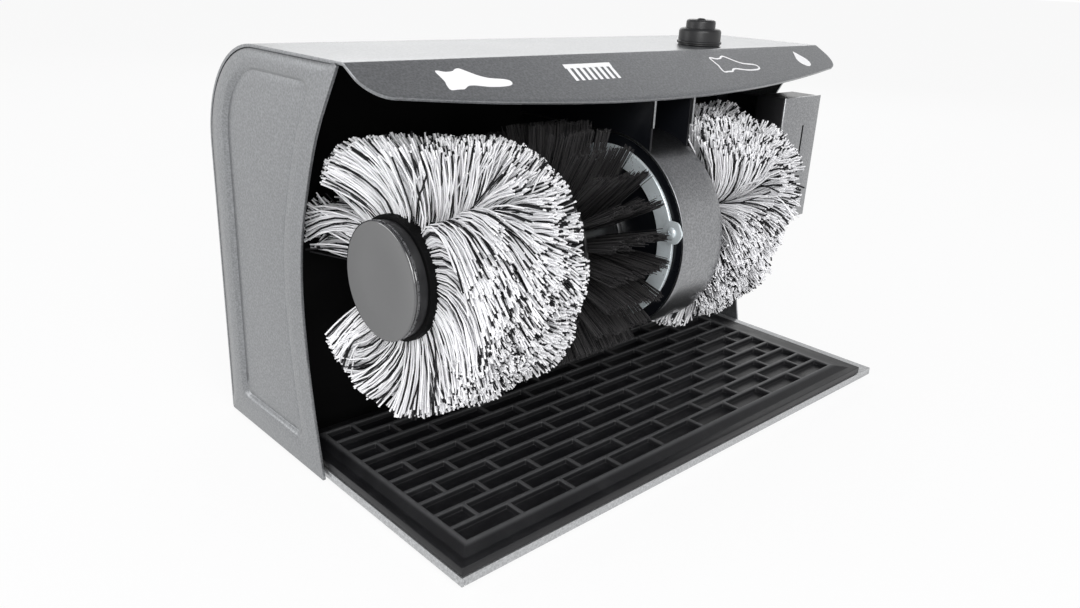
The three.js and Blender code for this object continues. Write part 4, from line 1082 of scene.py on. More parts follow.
@dataclass
class Casing:
    """Drive casing: a band round the nose, the bright ring and its clamp; its black plates are
    among the plain solids.
    """

    x: float = -2.0
    width: float = 37.0
    radius: float = 62.2
    sheet: float = 1.5
    wall_y: float = 54.4
    back_y: float = 167.7
    rail: float = 1.5
    rail_foot: float = 196.0
    ring_inner: float = 43.5
    ring_outer: float = 54.5
    ring_face: float = -21.8
    ring_sheet: float = 1.8
    ring_soft: float = 0.35
    clamp_angle: float = 13.0
    clamp_radius: float = 56.4
    clamp_reach: float = 7.6
    clamp_face: float = -23.6
    clamp_sheet: float = 1.5
    slit_face: float = -25.2
    slit_turn: float = 0.4
    dome: tuple[Pair, ...] = (
        (-25.5, 0.0), (-25.48, 0.8), (-25.35, 1.6), (-25.0, 2.4), (-24.5, 3.0), (-24.1, 3.2),
        (-23.95, 3.2), (-23.95, 1.4), (-18.3, 1.4), (-18.3, 0.0),
    )

    def lip_underside(self, y: float) -> float:
        """Height of the lip's underside less the resting gap."""
        return HOOD_TOP - (FOLD_Y - y) * math.tan(LIP_SLOPE) - 1.9 / math.cos(LIP_SLOPE)

    def path(self) -> list[Pair]:
        """Outer side of the band: under the nose, round it and back over the top.

        Returns:
            Points of depth and height.
        """
        over = [(y, SHAFT_Z + self.radius) for y in spaced(SHAFT_Y, self.back_y, 6)[1:]]
        under = [(y, SHAFT_Z - self.radius) for y in spaced(self.back_y, SHAFT_Y, 6)[:-1]]
        return under + arc((SHAFT_Y, SHAFT_Z), self.radius, -90.0, -270.0, 96) + over

    def bend(self, work: bmesh.types.BMesh, name: str, nodes: Sequence[str]) -> None:
        """Makes a hammered strip of its outer side."""
        face_out(work, Vector((0.0, -1.0, 0.0)))
        SheetStock(HAMMERTONE_DRUM, self.sheet, 0.4, 3).make(work, name, nodes)

    def build_band(self) -> None:
        """The hammered band round the nose, and the two rails from it to the lip."""
        path = self.path()
        left, right = self.x - self.width / 2.0, self.x + self.width / 2.0
        across = spaced(left, right, 8)
        work = grid(8, len(path) - 1, lambda c, r: Vector((across[c], *path[r])))
        self.bend(work, "casing_sheet", ["casing_band", "casing_blank"])
        heights = spaced(self.rail_foot, self.lip_underside(self.wall_y), 8)
        for name, x in (("left", left), ("right", right - self.rail)):
            rail = grid(1, 8, lambda c, r: Vector((x + self.rail * c, self.wall_y, heights[r])))
            self.bend(rail, f"casing_rail_{name}", ["casing_band"])

    def build_ring(self) -> None:
        """The polished ring on the left plate."""
        face, back, soft = self.ring_face, self.ring_face + self.ring_sheet, self.ring_soft
        inner, outer = self.ring_inner, self.ring_outer
        profile = [(back, inner), (face + soft, inner), (face, inner + soft), (face, outer - soft),
                   (face + soft, outer), (back, outer), (back, inner)]
        Turning("polished_ring", profile, BRIGHT_STEEL, Body.HOUSING, Slot.BRIGHT,
                ["bright_ring"], 128).stand(ON_SHAFT)

    def build_clamp(self) -> None:
        """The rounded six-cornered clamp and its domed, cross-slotted screw."""
        angle = math.radians(self.clamp_angle)
        middle = Vector((0.0, SHAFT_Y - self.clamp_radius * math.cos(angle),
                         SHAFT_Z + self.clamp_radius * math.sin(angle)))
        corners = arc((0.0, 0.0), self.clamp_reach, 0.0, 300.0, 5)
        plate = prism([Vector((self.clamp_face, *corner)) for corner in corners],
                      Vector((self.clamp_sheet, 0.0, 0.0)))
        uprights = [e for e in plate.edges if abs((e.verts[0].co - e.verts[1].co).x) > 1.0]
        bevel_edges(plate, uprights, 2.0, 4)
        bevel_edges(plate, sharp_edges(plate, 60.0), 0.3, 2)
        screw = turned(self.dome, 32)
        for spin in (0.0, math.pi / 2.0):
            slit = bmesh.new()
            bmesh.ops.create_cube(slit, size=1.0)
            bmesh.ops.scale(slit, vec=(1.0, 3.4, 0.7), verts=slit.verts)
            turn = Matrix.Rotation(spin + self.slit_turn, 3, "X")
            bmesh.ops.rotate(slit, cent=(0, 0, 0), matrix=turn, verts=slit.verts)
            bmesh.ops.translate(slit, verts=slit.verts, vec=(self.slit_face, 0.0, 0.0))
            screw = carved(screw, slit)
        for work, name, node in ((plate, "clamp_hexagon", "clamp_plate"),
                                 (screw, "clamp_dome_screw", "clamp_screw")):
            bmesh.ops.translate(work, verts=work.verts, vec=middle)
            piece = object_of(work, name)
            shade(piece)
            hand_over(piece, [BRIGHT_STEEL], Body.HOUSING, Slot.BRIGHT, [node])

    def build(self) -> None:
        """Builds every piece of the casing that isn't a plain plate."""
        self.build_band()
        self.build_ring()
        self.build_clamp()


def carved(work: bmesh.types.BMesh, tool: bmesh.types.BMesh) -> bmesh.types.BMesh:
    """Cuts one mesh out of another.

    Args:
        work: The mesh, which is freed.
        tool: The cutting mesh, which is freed.

    Returns:
        The cut mesh.
    """
    body = object_of(work, "carve_body", AS_PACKED)
    knife = object_of(tool, "carve_knife", AS_PACKED)
    cut_with(body, knife)
    settle(body)
    result = bmesh.new()
    result.from_mesh(body.data)
    for carrier in (body, knife):
        bpy.data.objects.remove(carrier)
    return result


# Marks on the lip


@dataclass
class LipMarks:
    """Plain white pictograms printed on the lip, each in its own outline."""

    lift: float = 0.02
    ink: float = 0.06
    line: float = 1.3
    curve_steps: int = 6
    tufts: int = 8
    tuft_pitch: float = 4.75
    shoe: tuple[Pair, ...] = (
        (0.01, 0.00), (0.12, 0.00), (0.215, 0.00), (0.255, 0.07), (0.31, 0.135), (0.39, 0.14),
        (0.49, 0.09), (0.62, 0.02), (0.80, 0.00), (0.93, 0.03), (0.995, 0.13), (0.985, 0.27),
        (0.90, 0.36), (0.77, 0.41), (0.66, 0.48), (0.56, 0.62), (0.47, 0.80), (0.38, 0.97),
        (0.31, 0.95), (0.25, 0.86), (0.14, 0.84), (0.04, 0.92), (0.00, 0.88), (0.01, 0.62),
        (0.02, 0.40), (0.00, 0.20),
    )

    def on_lip(self, x: float, t: float) -> Vector:
        """Point on the lip's outer face."""
        off = self.lift
        return Vector((x, FOLD_Y - t * math.cos(LIP_SLOPE) - off * math.sin(LIP_SLOPE),
                       HOOD_TOP - t * math.sin(LIP_SLOPE) + off * math.cos(LIP_SLOPE)))

    def rounded(self, points: Sequence[Pair]) -> list[Pair]:
        """Draws a closed curve through points.

        Args:
            points: What it passes through, in order.

        Returns:
            Points along the curve.
        """
        smooth = []
        count = len(points)
        for i in range(count):
            p = [Vector(points[(i + k) % count]) for k in (-1, 0, 1, 2)]
            for step in range(self.curve_steps):
                u = step / self.curve_steps
                spot = 0.5 * (2 * p[1] + (p[2] - p[0]) * u
                              + (2 * p[0] - 5 * p[1] + 4 * p[2] - p[3]) * u ** 2
                              + (3 * p[1] - p[0] - 3 * p[2] + p[3]) * u ** 3)
                smooth.append((spot.x, spot.y))
        return smooth

    def boxed(self, points: Sequence[Pair], left: float, right: float, high: float,
              low: float) -> list[Pair]:
        """Shares of a box as places on the lip, with the second share growing upwards."""
        return [(left + (right - left) * u, low + (high - low) * v) for u, v in points]

    def patch(self, outline: Sequence[Pair]) -> bmesh.types.BMesh:
        """A thin printed patch with an outline on the lip."""
        return prism([self.on_lip(x, t) for x, t in outline], LIP_NORMAL * self.ink)

    def stroke(self, outline: Sequence[Pair]) -> bmesh.types.BMesh:
        """Prints a closed line.

        Args:
            outline: Points along it.

        Returns:
            The printed line.
        """
        count = len(outline)

        def spot(column: int, row: int) -> Vector:
            """Places a vertex beside the line.

            Args:
                column: The point of the outline.
                row: 0 on one side of it, 1 on the other.

            Returns:
                Its place.
            """
            here = Vector(outline[column % count])
            way = Vector(outline[(column + 1) % count]) - Vector(outline[(column - 1) % count])
            way.normalize()
            side = (row - 0.5) * self.line
            return self.on_lip(here.x - way.y * side, here.y + way.x * side)

        work = grid(count, 1, spot)
        bmesh.ops.remove_doubles(work, verts=work.verts, dist=WELD)
        bmesh.ops.recalc_face_normals(work, faces=work.faces)
        return raised(work, LIP_NORMAL * self.ink)

    def comb(self) -> list[bmesh.types.BMesh]:
        """Draws a brush: a back with slanting tufts.

        Returns:
            Its patches.
        """
        patches = [self.patch([(-69.5, 9.0), (-32.5, 9.0), (-33.0, 12.6), (-70.0, 12.6)])]
        for i in range(self.tufts):
            x = -69.0 + i * self.tuft_pitch
            tuft = [(x, 12.4), (x + 2.4, 12.4), (x + 1.2, 23.2), (x - 1.2, 23.2)]
            patches.append(self.patch(tuft))
        return patches

    def build(self) -> None:
        """Prints the four pictograms in one piece."""
        shoe = self.rounded(self.shoe)
        drop = [(161.0, 6.4), *arc((161.0, 17.3), 6.3, 218.0, -38.0, 16)]
        patches = [self.patch(self.boxed(shoe, -155.0, -114.5, 7.8, 24.0)), *self.comb(),
                   self.stroke(self.boxed(shoe, 61.0, 102.0, 8.0, 23.8)), self.patch(drop)]
        piece = object_of(joined(patches), "lip_pictograms")
        hand_over(piece, [PRINT_WHITE], Body.HOUSING, Slot.HAMMERTONE)


# Mops and brush


@dataclass
class Thread:
    """One thread: its points and its thickness along them."""

    points: list[Vector]
    radii: list[float]
    shade: float


def threads_object(name: str, threads: Sequence[Thread]) -> bpy.types.Object:
    """Four-sided tubes along threads, as one mesh.

    Args:
        name: The object's name.
        threads: The threads, all with the same number of points.

    Returns:
        The mesh object, with the attributes "thread" and "along" on its points.
    """
    curve = bpy.data.curves.new(f"{name}_curve", "CURVE")
    curve.dimensions = "3D"
    curve.bevel_mode = "ROUND"
    curve.bevel_resolution = 0
    curve.bevel_depth = 1.0
    curve.use_fill_caps = True
    curve.twist_mode = "MINIMUM"
    for thread in threads:
        spline = curve.splines.new("POLY")
        spline.points.add(len(thread.points) - 1)
        flat = [value for p in thread.points for value in (*(MACHINE @ p), 1.0)]
        spline.points.foreach_set("co", flat)
        spline.points.foreach_set("radius", [r * MM for r in thread.radii])
    carrier = add_object(f"{name}_carrier", curve)
    mesh = final_mesh(carrier)
    bpy.data.objects.remove(carrier)
    bpy.data.curves.remove(curve)
    mesh.name = name
    rings = len(threads[0].points)
    per_thread = len(mesh.vertices) // len(threads)
    sides = per_thread // rings
    shades = [thread.shade for thread in threads for _ in range(per_thread)]
    along = [min(1.0, (k // sides) / (rings - 1)) for _ in threads for k in range(per_thread)]
    mesh.attributes.new("thread", "FLOAT", "POINT").data.foreach_set("value", shades)
    mesh.attributes.new("along", "FLOAT", "POINT").data.foreach_set("value", along)
    mesh.polygons.foreach_set("use_smooth", [True] * len(mesh.polygons))
    return add_object(name, mesh)


def on_drum(x: float, radius: float, angle: float) -> Vector:
    """Point about the brush shaft; the angle is 0 at the front and grows over the top."""
    return Vector((x, SHAFT_Y - radius * math.cos(angle), SHAFT_Z + radius * math.sin(angle)))


def turn_between(angle: float, other: float) -> float:
    """Signed angle from another angle, within half a turn."""
    return (angle - other + math.pi) % math.tau - math.pi


@dataclass(frozen=True)
class Parting:
    """A line on the pile from which the threads lean away, in mm over its middle depth.

    The place is an angle in degrees and a share of the half length, outwards positive. The line
    runs along the shaft at a slant of 0 and round it at 90.
    """

    angle: float
    share: float
    slant: float
    reach: float
    length: float
    push: float
    pull: float


@dataclass(frozen=True)
class Sweep:
    """A patch of the pile that was brushed one way, round it and outwards in mm, or trimmed."""

    angle: float
    share: float
    around: float
    along: float
    shift_round: float
    shift_out: float
    trim: float = 0.0


@dataclass(frozen=True)
class Bare:
    """A sector of the pile's surface that holds no thread's tip, in degrees at its outer end.

    It reaches in to a share of the half length, lies so many degrees further round for each
    share inwards, and the chance tells how many of its threads are gone.
    """

    low: float
    high: float
    share: float
    gone: float
    twist: float = 0.0

    def holds(self, angle: float, share: float) -> bool:
        """Whether a tip lies in the sector."""
        turn = (math.degrees(angle) - self.twist * (1.0 - share)) % 360.0
        return share > self.share and self.low < turn < self.high


@dataclass
class Mop:
    """A round mop: white threads with black ones between, in leaning locks."""

    name: str
    centre: float
    outward: float
    partings: tuple[Parting, ...]
    sweeps: tuple[Sweep, ...]
    bare: tuple[Bare, ...]
    seed: int
    white_pieces: int = 3
    white: int = 3600
    black: int = 3000
    half_base: float = 28.0
    base_radius: float = 31.6
    middle_radius: float = 50.0
    tip_radius: float = 75.0
    half_tip: float = 48.0
    tip_corner: float = 17.0
    outer_limit: float = 47.5
    inner_limit: float = 49.0
    thread_radius: float = 0.46
    lock_rows: int = 5
    lock_columns: int = 24
    points: int = 6
    locks: list[tuple[float, ...]] = field(default_factory=list)

    def surface_radius(self, x: float) -> float:
        """Radius of the trimmed pile at a distance from its middle."""
        over = min(self.tip_corner, max(0.0, abs(x) - (self.half_tip - self.tip_corner)))
        return self.tip_radius - self.tip_corner + math.sqrt(self.tip_corner ** 2 - over ** 2)

    def make_locks(self, dice: random.Random) -> None:
        """Chooses each lock's place, lean round, lean along and length.

        Args:
            dice: The mop's random numbers.
        """
        for row in range(self.lock_rows):
            for i in range(self.lock_columns):
                angle = i + dice.uniform(-0.35, 0.35) + 0.5 * (row % 2)
                share = (row + 0.5 + dice.uniform(-0.25, 0.25)) / (self.lock_rows / 2.0) - 1.0
                self.locks.append((angle * math.tau / self.lock_columns, share,
                                   dice.gauss(0.0, 0.12), dice.gauss(0.0, 4.5),
                                   dice.uniform(0.93, 1.01)))

    def lean(self, angle: float, share: float) -> tuple[float, float, float]:
        """How far a tip is swept and trimmed by the partings and sweeps.

        Args:
            angle: Where the thread is rooted, round the shaft.
            share: Where it is rooted along the pile, outwards positive.

        Returns:
            The lean round the shaft in radians and outwards in millimetres, and the share of
            the length that is left.
        """
        round_it, along, left = 0.0, 0.0, 1.0
        for line in self.partings:
            off_round = turn_between(angle, math.radians(line.angle)) * self.middle_radius
            off_along = (share - line.share) * self.half_base
            slant = math.radians(line.slant)
            across = off_round * math.cos(slant) + off_along * math.sin(slant)
            down = off_along * math.cos(slant) - off_round * math.sin(slant)
            fade = math.exp(-(abs(across) / line.reach) ** 1.5 - (down / line.length) ** 2)
            shove = (line.push if across > 0.0 else -line.pull) * fade
            round_it += shove * math.cos(slant) / self.middle_radius
            along += shove * math.sin(slant)
        for patch in self.sweeps:
            off_round = turn_between(angle, math.radians(patch.angle)) * self.middle_radius
            off_along = (share - patch.share) * self.half_base
            fade = math.exp(-(off_round / patch.around) ** 2 - (off_along / patch.along) ** 2)
            round_it += patch.shift_round * fade / self.middle_radius
            along += patch.shift_out * fade
            left -= patch.trim * fade
        return round_it, along, left

    def thread(self, dice: random.Random) -> Thread:
        """Grows one thread from the hub to the trimmed surface.

        Args:
            dice: The mop's random numbers.

        Returns:
            The thread.
        """
        angle = dice.uniform(0.0, math.tau)
        share = dice.uniform(-1.0, 1.0)
        lock = min(self.locks,
                   key=lambda k: abs(turn_between(angle, k[0])) * 1.3 + abs(share - k[1]))
        round_it, along, left = self.lean(angle, share)
        clump = dice.uniform(0.1, 0.6)
        stray = 2.2 if dice.random() < 0.05 else 1.0
        tip_angle = angle + round_it + (lock[2] + dice.gauss(0.0, 0.05)) * stray
        tip_angle -= clump * turn_between(angle, lock[0]) * 0.8
        tip_share = share + clump * (lock[1] - share) * 0.45
        base_x = share * self.half_base
        tip_x = tip_share * self.half_tip + (lock[3] + dice.gauss(0.0, 1.5)) * stray + along
        tip_x = max(-self.inner_limit + dice.random(), min(self.outer_limit - dice.random(), tip_x))
        if any(b.holds(tip_angle, tip_x / self.half_tip) and dice.random() < b.gone
               for b in self.bare):
            return self.thread(dice)
        height = self.surface_radius(tip_x) - self.base_radius
        height *= left * lock[4] * dice.uniform(0.91, 1.01)
        lying = abs(turn_between(tip_angle, angle))
        height *= 1.0 - 0.07 * min(1.5, lying) ** 2
        phase, wave = dice.uniform(0.0, math.tau), dice.uniform(0.0, 0.8)
        points, radii = [], []
        for s in spaced(0.0, 1.0, self.points - 1):
            radius = self.base_radius + height * (s if lying < 0.25 else s ** 0.88)
            turn = angle + turn_between(tip_angle, angle) * s ** 1.5
            x = base_x + (tip_x - base_x) * s ** 1.2
            wander = wave * math.sin(phase + s * 5.0) * s
            points.append(on_drum(self.centre + self.outward * (x + wander), radius,
                                  turn + wander / 60.0))
            radii.append(self.thread_radius * (0.85 + 0.35 * s))
        return Thread(points, radii, dice.random())

    def build(self) -> None:
        """Makes the pile: pieces of white threads and one of black."""
        dice = random.Random(self.seed)
        self.make_locks(dice)
        for number in range(self.white_pieces + 1):
            last = number == self.white_pieces
            count = self.black if last else self.white
            colour = "black" if last else f"white_{number + 1}"
            threads = [self.thread(dice) for _ in range(count)]
            piece = threads_object(f"{self.name}_threads_{colour}", threads)
            finish = YARN_BLACK if last else YARN_WHITE
            hand_over(piece, [finish], Body.ROTOR, Slot.YARN, [f"{self.name}_pile"])


@dataclass
class BristleBrush:
    """The black brush: rows of flat tufts along the shaft."""

    middle: float = -62.9
    rows: int = 24
    tufts: int = 8
    hairs: int = 32
    reach: float = 20.5
    base_radius: float = 26.0
    tip_radius: float = 70.5
    radii: tuple[float, ...] = (0.27, 0.24, 0.2)
    lean: float = -2.0
    seed: int = 11

    def build(self) -> None:
        """Makes the bristles as one piece."""
        dice = random.Random(self.seed)
        threads = []
        for row in range(self.rows):
            angle = row * math.tau / self.rows
            for x in spaced(self.middle - self.reach, self.middle + self.reach, self.tufts - 1):
                skew = dice.gauss(0.0, 0.012)
                for _ in range(self.hairs):
                    out, side = dice.gauss(0.0, 1.0), dice.gauss(0.0, 1.0)
                    base = on_drum(x + out * 0.8, self.base_radius, angle + side * 0.02)
                    length = self.tip_radius - abs(dice.gauss(0.0, 1.1))
                    tip_angle = angle + skew + side * 0.019
                    tip = on_drum(x + self.lean + out * 1.7, length, tip_angle)
                    bow = dice.gauss(0.0, 0.6)
                    mid = base.lerp(tip, 0.55) + Vector((bow, 0.0, 0.0))
                    threads.append(Thread([base, mid, tip], list(self.radii), dice.random()))
        piece = threads_object("brush_hairs", threads)
        hand_over(piece, [BRISTLE], Body.ROTOR, Slot.BRISTLE, ["brush_bristles"])


@dataclass
class Spindle:
    """Turned pieces on the brush shaft: hubs, end caps and the separator disc."""

    bore: float = 6.3
    hub: float = 30.5
    backing: float = 64.0

    def sleeve(self, start: float, end: float, inner: float, outer: float,
               soft: float) -> list[Pair]:
        """Profile of a sleeve with softened outer edges.

        Args:
            start: Its left end along X.
            end: Its right end.
            inner: Radius of its bore.
            outer: Radius of its outside.
            soft: Width of the softened edges.

        Returns:
            Points of place along X and radius.
        """
        return [(start, inner), (start, outer - soft), (start + soft * 0.3, outer - soft * 0.3),
                (start + soft, outer), (end - soft, outer), (end - soft * 0.3, outer - soft * 0.3),
                (end, outer - soft), (end, inner), (start, inner)]

    def cap(self, inner: float, side: float) -> list[Pair]:
        """Profile of an end cap with a fine raised rim.

        Args:
            inner: Place of its inner face along X.
            side: 1 to face right, -1 to face left.

        Returns:
            Points of place along X and radius.
        """
        steps = [(0.0, 0.0), (0.0, 31.2), (0.9, 31.2), (1.2, 30.9), (1.2, 30.5), (1.5, 30.5),
                 (1.6, 31.0), (1.8, 31.2), (2.1, 31.2), (2.45, 31.0), (2.65, 30.65), (2.7, 30.3),
                 (2.7, 29.9), (2.62, 29.6), (2.6, 15.0), (2.6, 0.0)]
        return [(inner + side * along, radius) for along, radius in steps]

    def build(self) -> None:
        """Builds every turned piece of the rotor."""
        bore, hub, plastic = self.bore, self.hub, (HUB_PLASTIC, Slot.PLASTIC)
        backings = [self.sleeve(x, x + self.backing, 30.7, 33.0, 0.8) for x in (-177.0, 33.7)]
        for name, profile, (finish, slot), nodes, steps in (
            ("left_mop_core", self.sleeve(-182.0, -90.5, bore, hub, 0.6), plastic,
             ["mop_left_hub"], 96),
            ("right_mop_core", self.sleeve(19.5, 102.7, bore, hub, 0.6), plastic,
             ["mop_right_hub"], 96),
            ("left_mop_backing", backings[0], (INNER_BLACK, Slot.YARN), [], 96),
            ("right_mop_backing", backings[1], (INNER_BLACK, Slot.YARN), [], 96),
            ("left_end_cap", self.cap(-182.3, -1.0), (CAP_GLOSS, Slot.CAP), ["mop_left_cap"], 128),
            ("right_end_cap", self.cap(103.0, 1.0), (CAP_GLOSS, Slot.CAP), ["mop_right_cap"], 128),
            ("separator", self.sleeve(-90.2, -88.2, bore, 52.7, 0.5), plastic,
             ["separator_disc"], 128),
            ("brush_core", self.sleeve(-87.9, -37.9, bore, 26.6, 0.6), plastic, ["brush_hub"], 96),
        ):
            Turning(name, profile, finish, Body.ROTOR, slot, nodes, steps, 32.0).stand(ON_SHAFT)


# Small pieces


@dataclass
class PushButton:
    """Rubber collar and cap on the hood."""

    x: float = 88.0
    y: float = 111.0
    steps: int = 72
    collar: tuple[Pair, ...] = (
        (0.3, 10.3), (0.3, 13.9), (0.5, 14.1), (1.3, 14.1), (1.4, 14.6), (1.7, 14.9), (2.6, 14.9),
        (2.9, 14.6), (3.0, 14.1), (8.6, 14.1), (9.4, 13.95), (10.2, 13.5), (10.8, 12.8),
        (11.0, 12.0), (11.0, 10.9), (10.7, 10.4), (0.3, 10.3),
    )
    cap: tuple[Pair, ...] = (
        (-4.0, 0.0), (-4.0, 4.0), (6.0, 4.0), (6.0, 9.6), (6.2, 9.8), (14.8, 9.8), (15.6, 9.6),
        (16.2, 9.1), (16.5, 8.3), (16.4, 7.4), (16.1, 6.6), (16.05, 3.4), (16.4, 3.0), (17.0, 2.6),
        (17.4, 1.6), (17.5, 0.0),
    )

    def build(self) -> None:
        """Turns the collar and the cap."""
        for name, profile, body, node in (
            ("button_ring", self.collar, Body.HOUSING, "button_collar"),
            ("button_knob", self.cap, Body.BUTTON, "button_cap"),
        ):
            Turning(name, profile, SOFT_RUBBER, body, Slot.RUBBER, [node],
                    self.steps).stand(upright(self.x, self.y, HOOD_TOP))


@dataclass
class DispenserValve:
    """Sprung pin below the dispenser."""

    x: float = 163.0
    y: float = 89.0
    foot: float = 109.8
    steps: int = 48
    pin: tuple[Pair, ...] = (
        (-9.0, 0.0), (-9.0, 4.4), (-8.7, 4.9), (-8.1, 5.2), (-6.4, 5.2), (-6.1, 5.0), (-6.0, 4.6),
        (-6.0, 3.4), (12.3, 3.4), (12.3, 5.2), (14.8, 5.2), (14.8, 0.0),
    )

    def build(self) -> None:
        """Turns the pin."""
        Turning("dispenser_pin", self.pin, BRIGHT_STEEL, Body.VALVE, Slot.BRIGHT,
                ["dispenser_valve"], self.steps).stand(upright(self.x, self.y, self.foot))


@dataclass(frozen=True)
class Batch:
    """Solids dressed alike, with the width of their softened edges in millimetres.

    small_faces keeps flat sides in four-sided faces, for a solid with many pockets.
    """

    nodes: tuple[str, ...]
    finish: Finish
    body: Body
    slot: Slot
    width: float
    small_faces: bool = False


@dataclass
class PlainSolids:
    """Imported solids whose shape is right: each gets a copy with softened edges."""

    weld: float = 2e-6
    flat: float = 0.6
    sharp: float = 32.0
    smooth: float = 30.0
    segments: int = 2
    batches: tuple[Batch, ...] = (
        Batch(("base_tray",), TRAY_PAINT, Body.HOUSING, Slot.TRAY, 0.4),
        Batch(("rubber_mat",), MAT_RUBBER, Body.MAT, Slot.RUBBER, 0.55, True),
        Batch(("dispenser_front",), HAMMERTONE_DRUM, Body.HOUSING, Slot.HAMMERTONE, 0.3),
        Batch(("bulkhead",), INNER_BLACK, Body.HOUSING, Slot.BLACK_PAINT, 0.2),
        Batch(("casing_plate_left", "casing_plate_right"), PLATE_BLACK, Body.HOUSING,
              Slot.BLACK_PAINT, 0.2),
        Batch(("dispenser_tank", "dispenser_base", "switch_body", "terminal_box",
               "capacitor_clip"), BLACK_PLASTIC, Body.HOUSING, Slot.PLASTIC, 0.5),
        Batch(("foot_front_left", "foot_front_right", "foot_rear_left", "foot_rear_right",
               "inlet_grommet"), SOFT_RUBBER, Body.HOUSING, Slot.RUBBER, 0.4),
        Batch(("drive_belt",), BELT_RUBBER, Body.HOUSING, Slot.RUBBER, 0.2),
        Batch(("back_screw_1", "back_screw_2", "back_screw_3", "back_screw_4", "bearing_left",
               "bearing_right", "motor_can", "motor_bracket_left", "motor_bracket_right"),
              PLAIN_STEEL, Body.HOUSING, Slot.STEEL, 0.25),
        Batch(("capacitor",), CAN_ALUMINIUM, Body.HOUSING, Slot.CAPACITOR, 0.6),
        Batch(("motor_end_left", "motor_end_right"), CAST_IRON, Body.HOUSING, Slot.CAST, 0.8),
        Batch(("motor_shaft",), PLAIN_STEEL, Body.MOTOR, Slot.STEEL, 0.3),
        Batch(("drive_pulley",), CAST_IRON, Body.MOTOR, Slot.CAST, 0.3),
        Batch(("brush_shaft",), PLAIN_STEEL, Body.ROTOR, Slot.STEEL, 0.3),
        Batch(("driven_pulley",), CAST_IRON, Body.ROTOR, Slot.CAST, 0.3),
    )

    def refine(self, node: str, batch: Batch) -> None:
        """Softens the edges of a copy of a node's mesh.

        Args:
            node: The node that the copy stands for.
            batch: How it is dressed.
        """
        work = bmesh.new()
        work.from_mesh(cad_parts[node].data)
        bmesh.ops.remove_doubles(work, verts=work.verts, dist=self.weld)
        flat = math.radians(self.flat)
        if batch.small_faces:
            bmesh.ops.join_triangles(work, faces=work.faces, angle_face_threshold=flat,
                                     angle_shape_threshold=math.pi)
        else:
            bmesh.ops.dissolve_limit(work, angle_limit=flat, verts=work.verts, edges=work.edges)
        bmesh.ops.recalc_face_normals(work, faces=work.faces)
        piece = object_of(work, f"{node}_soft", AS_PACKED)
        soften(piece, batch.width, self.segments, self.sharp)
        settle(piece)
        shade(piece, self.smooth)
        hand_over(piece, [batch.finish], batch.body, batch.slot, [node])

    def build(self) -> None:
        """Softens and dresses each solid."""
        for batch in self.batches:
            for node in batch.nodes:
                self.refine(node, batch)


# Studio


@dataclass(frozen=True)
class Lamp:
    """A soft rectangular lamp that faces a point."""

    name: str
    place: tuple[float, float, float]
    aim: tuple[float, float, float]
    size: Pair
    power: float

    def hang(self) -> None:
        """Adds the lamp, unseen by the camera."""
        data = bpy.data.lights.new(self.name, "AREA")
        data.shape = "RECTANGLE"
        data.size, data.size_y = self.size
        data.energy = self.power
        lamp = add_object(self.name, data)
        turn = (Vector(self.aim) - Vector(self.place)).to_track_quat("-Z", "Y")
        lamp.matrix_world = Matrix.Translation(self.place) @ turn.to_matrix().to_4x4()
        lamp.visible_camera = False


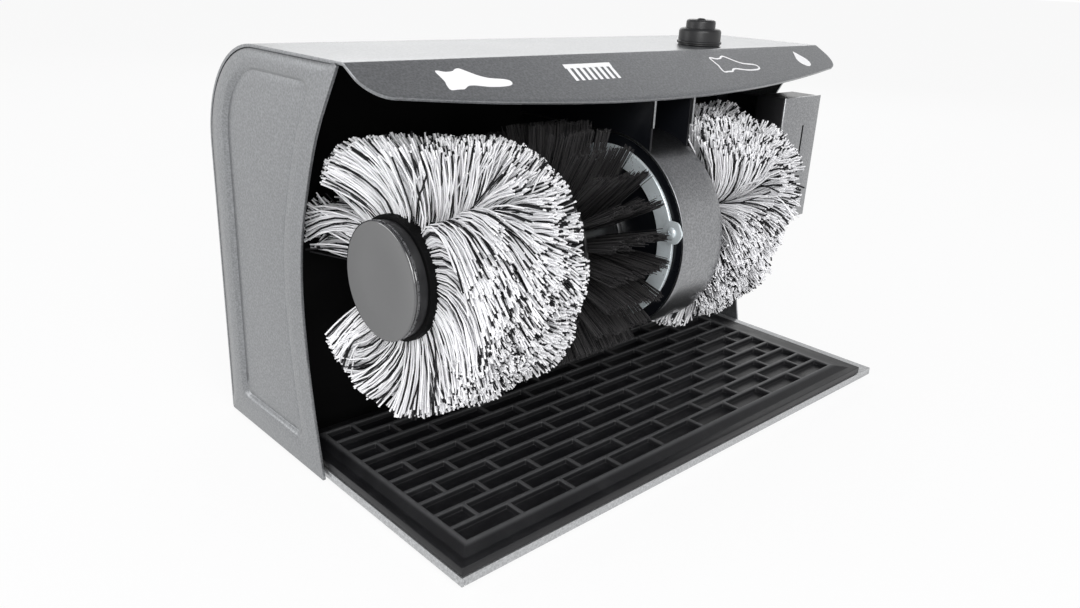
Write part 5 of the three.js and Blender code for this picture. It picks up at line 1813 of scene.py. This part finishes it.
@dataclass
class Studio:
    """Camera at the photograph's place, plain soft light and a pale floor."""

    place: tuple[float, float, float] = (-0.4163, -0.3942, 0.2820)
    right: tuple[float, float, float] = (0.73334, -0.67825, 0.04676)
    up: tuple[float, float, float] = (0.2086, 0.2900, 0.9340)
    lens: float = 29.57
    sensor: float = 36.0
    nearest: float = 0.01
    furthest: float = 120.0
    floor_half: float = 40.0
    walls: tuple[tuple[float, Colour], ...] = (
        (0.0, (0.9, 0.9, 0.9)), (0.5, (1.0, 1.0, 1.0)), (0.62, (0.95, 0.95, 0.95)),
        (0.82, (0.42, 0.42, 0.43)), (1.0, (0.30, 0.30, 0.31)),
    )
    lamps: tuple[Lamp, ...] = (
        Lamp("key", (-0.75, -1.35, 1.35), (0.0, -0.05, 0.10), (1.4, 1.0), 21.0),
        Lamp("front_left", (-1.20, -1.10, 0.62), (-0.05, -0.03, 0.13), (0.8, 0.8), 7.0),
        Lamp("side", (-1.35, 1.05, 0.45), (-0.1, 0.0, 0.12), (0.7, 0.7), 3.5),
        Lamp("behind", (1.27, 1.29, 0.92), (0.1, 0.1, 0.23), (1.7, 0.7), 5.5),
    )

    def set_camera(self) -> None:
        """Places the camera."""
        data = bpy.data.cameras.new("camera")
        data.sensor_width, data.lens = self.sensor, self.lens
        data.clip_start, data.clip_end = self.nearest, self.furthest
        camera = add_object("camera", data)
        right = Vector(self.right).normalized()
        back = right.cross(Vector(self.up).normalized()).normalized()
        turn = Matrix((right, back.cross(right), back)).transposed()
        camera.matrix_world = Matrix.Translation(self.place) @ turn.to_4x4()
        bpy.context.scene.camera = camera

    def set_world(self) -> None:
        """A white room whose ceiling is darker than its walls."""
        world = bpy.data.worlds.new("white_room")
        world.use_nodes = True
        bpy.context.scene.world = world
        recipe = Recipe(world.node_tree)
        ray = recipe.node("ShaderNodeTexCoord", {}, {}, "Generated")
        height = recipe.node("ShaderNodeSeparateXYZ", {}, {"Vector": ray}, "Z")
        walls = recipe.ramp(height * 0.5 + 0.5, self.walls)
        camera = recipe.node("ShaderNodeLightPath", {}, {}, "Is Camera Ray")
        inputs = {"Color": recipe.mixed(camera, walls, (1.0, 1.0, 1.0)), "Strength": 1.0}
        light = recipe.node("ShaderNodeBackground", {}, inputs)
        recipe.node("ShaderNodeOutputWorld", {}, {"Surface": light})

    def add_floor(self) -> None:
        """Lays the pale floor."""
        work = bmesh.new()
        bmesh.ops.create_grid(work, x_segments=2, y_segments=2, size=self.floor_half)
        floor = object_of(work, "floor", AS_PACKED)
        floor.data.materials.append(FLOOR_WHITE.make())

    def build(self) -> None:
        """Sets up the whole studio."""
        bpy.context.scene.view_settings.view_transform = "Standard"
        self.set_camera()
        self.set_world()
        self.add_floor()
        for lamp in self.lamps:
            lamp.hang()


def main() -> None:
    """Builds the machine piece by piece and the studio round it."""
    logging.basicConfig(level=logging.INFO, format="%(name)s %(message)s")
    Studio().build()
    Hood().build()
    LipMarks().build()
    SidePanel().build()
    SidePanel(mirror=True).build()
    Casing().build()
    PlainSolids().build()
    Spindle().build()
    partings = (
        Parting(58.0, 0.95, 0.0, 75.0, 26.0, 24.0, 32.0),
        Parting(40.0, 0.28, 78.0, 26.0, 24.0, 4.0, 14.0),
        Parting(-52.0, -0.3, 15.0, 26.0, 30.0, 7.0, 8.0),
    )
    sweeps = (
        Sweep(5.0, 1.0, 60.0, 16.0, 0.0, -17.0), Sweep(-130.0, 1.0, 30.0, 25.0, -3.0, 0.0),
        Sweep(92.0, -0.6, 32.0, 26.0, 0.0, 0.0, 0.16),
        Sweep(-8.0, -1.0, 48.0, 16.0, 0.0, 10.0, 0.10),
    )
    bare = (Bare(181.0, 223.0, 0.0, 1.0), Bare(60.0, 84.0, -1.0, 0.88, 32.0))
    Mop("mop_left", -145.0, -1.0, partings, sweeps, bare, 5).build()
    partings = (
        Parting(24.0, -0.9, 0.0, 50.0, 34.0, 18.0, 16.0),
        Parting(90.0, -0.4, 20.0, 30.0, 26.0, 8.0, 8.0),
        Parting(-45.0, 0.2, 60.0, 26.0, 26.0, 8.0, 6.0),
    )
    sweeps = (
        Sweep(40.0, 0.8, 20.0, 26.0, 0.0, 4.0, -0.07),
        Sweep(8.0, 1.0, 18.0, 26.0, 0.0, -17.0, 0.24),
        Sweep(-24.0, 1.0, 26.0, 26.0, -2.0, -18.0, 0.25),
        Sweep(-62.0, 1.0, 26.0, 26.0, -3.0, -12.0, 0.15),
        Sweep(72.0, 0.7, 24.0, 24.0, 0.0, 0.0, 0.13),
    )
    Mop("mop_right", 65.7, 1.0, partings, sweeps, (), 8, tip_radius=73.5).build()
    BristleBrush().build()
    PushButton().build()
    DispenserValve().build()


if __name__ == "__main__":
    main()
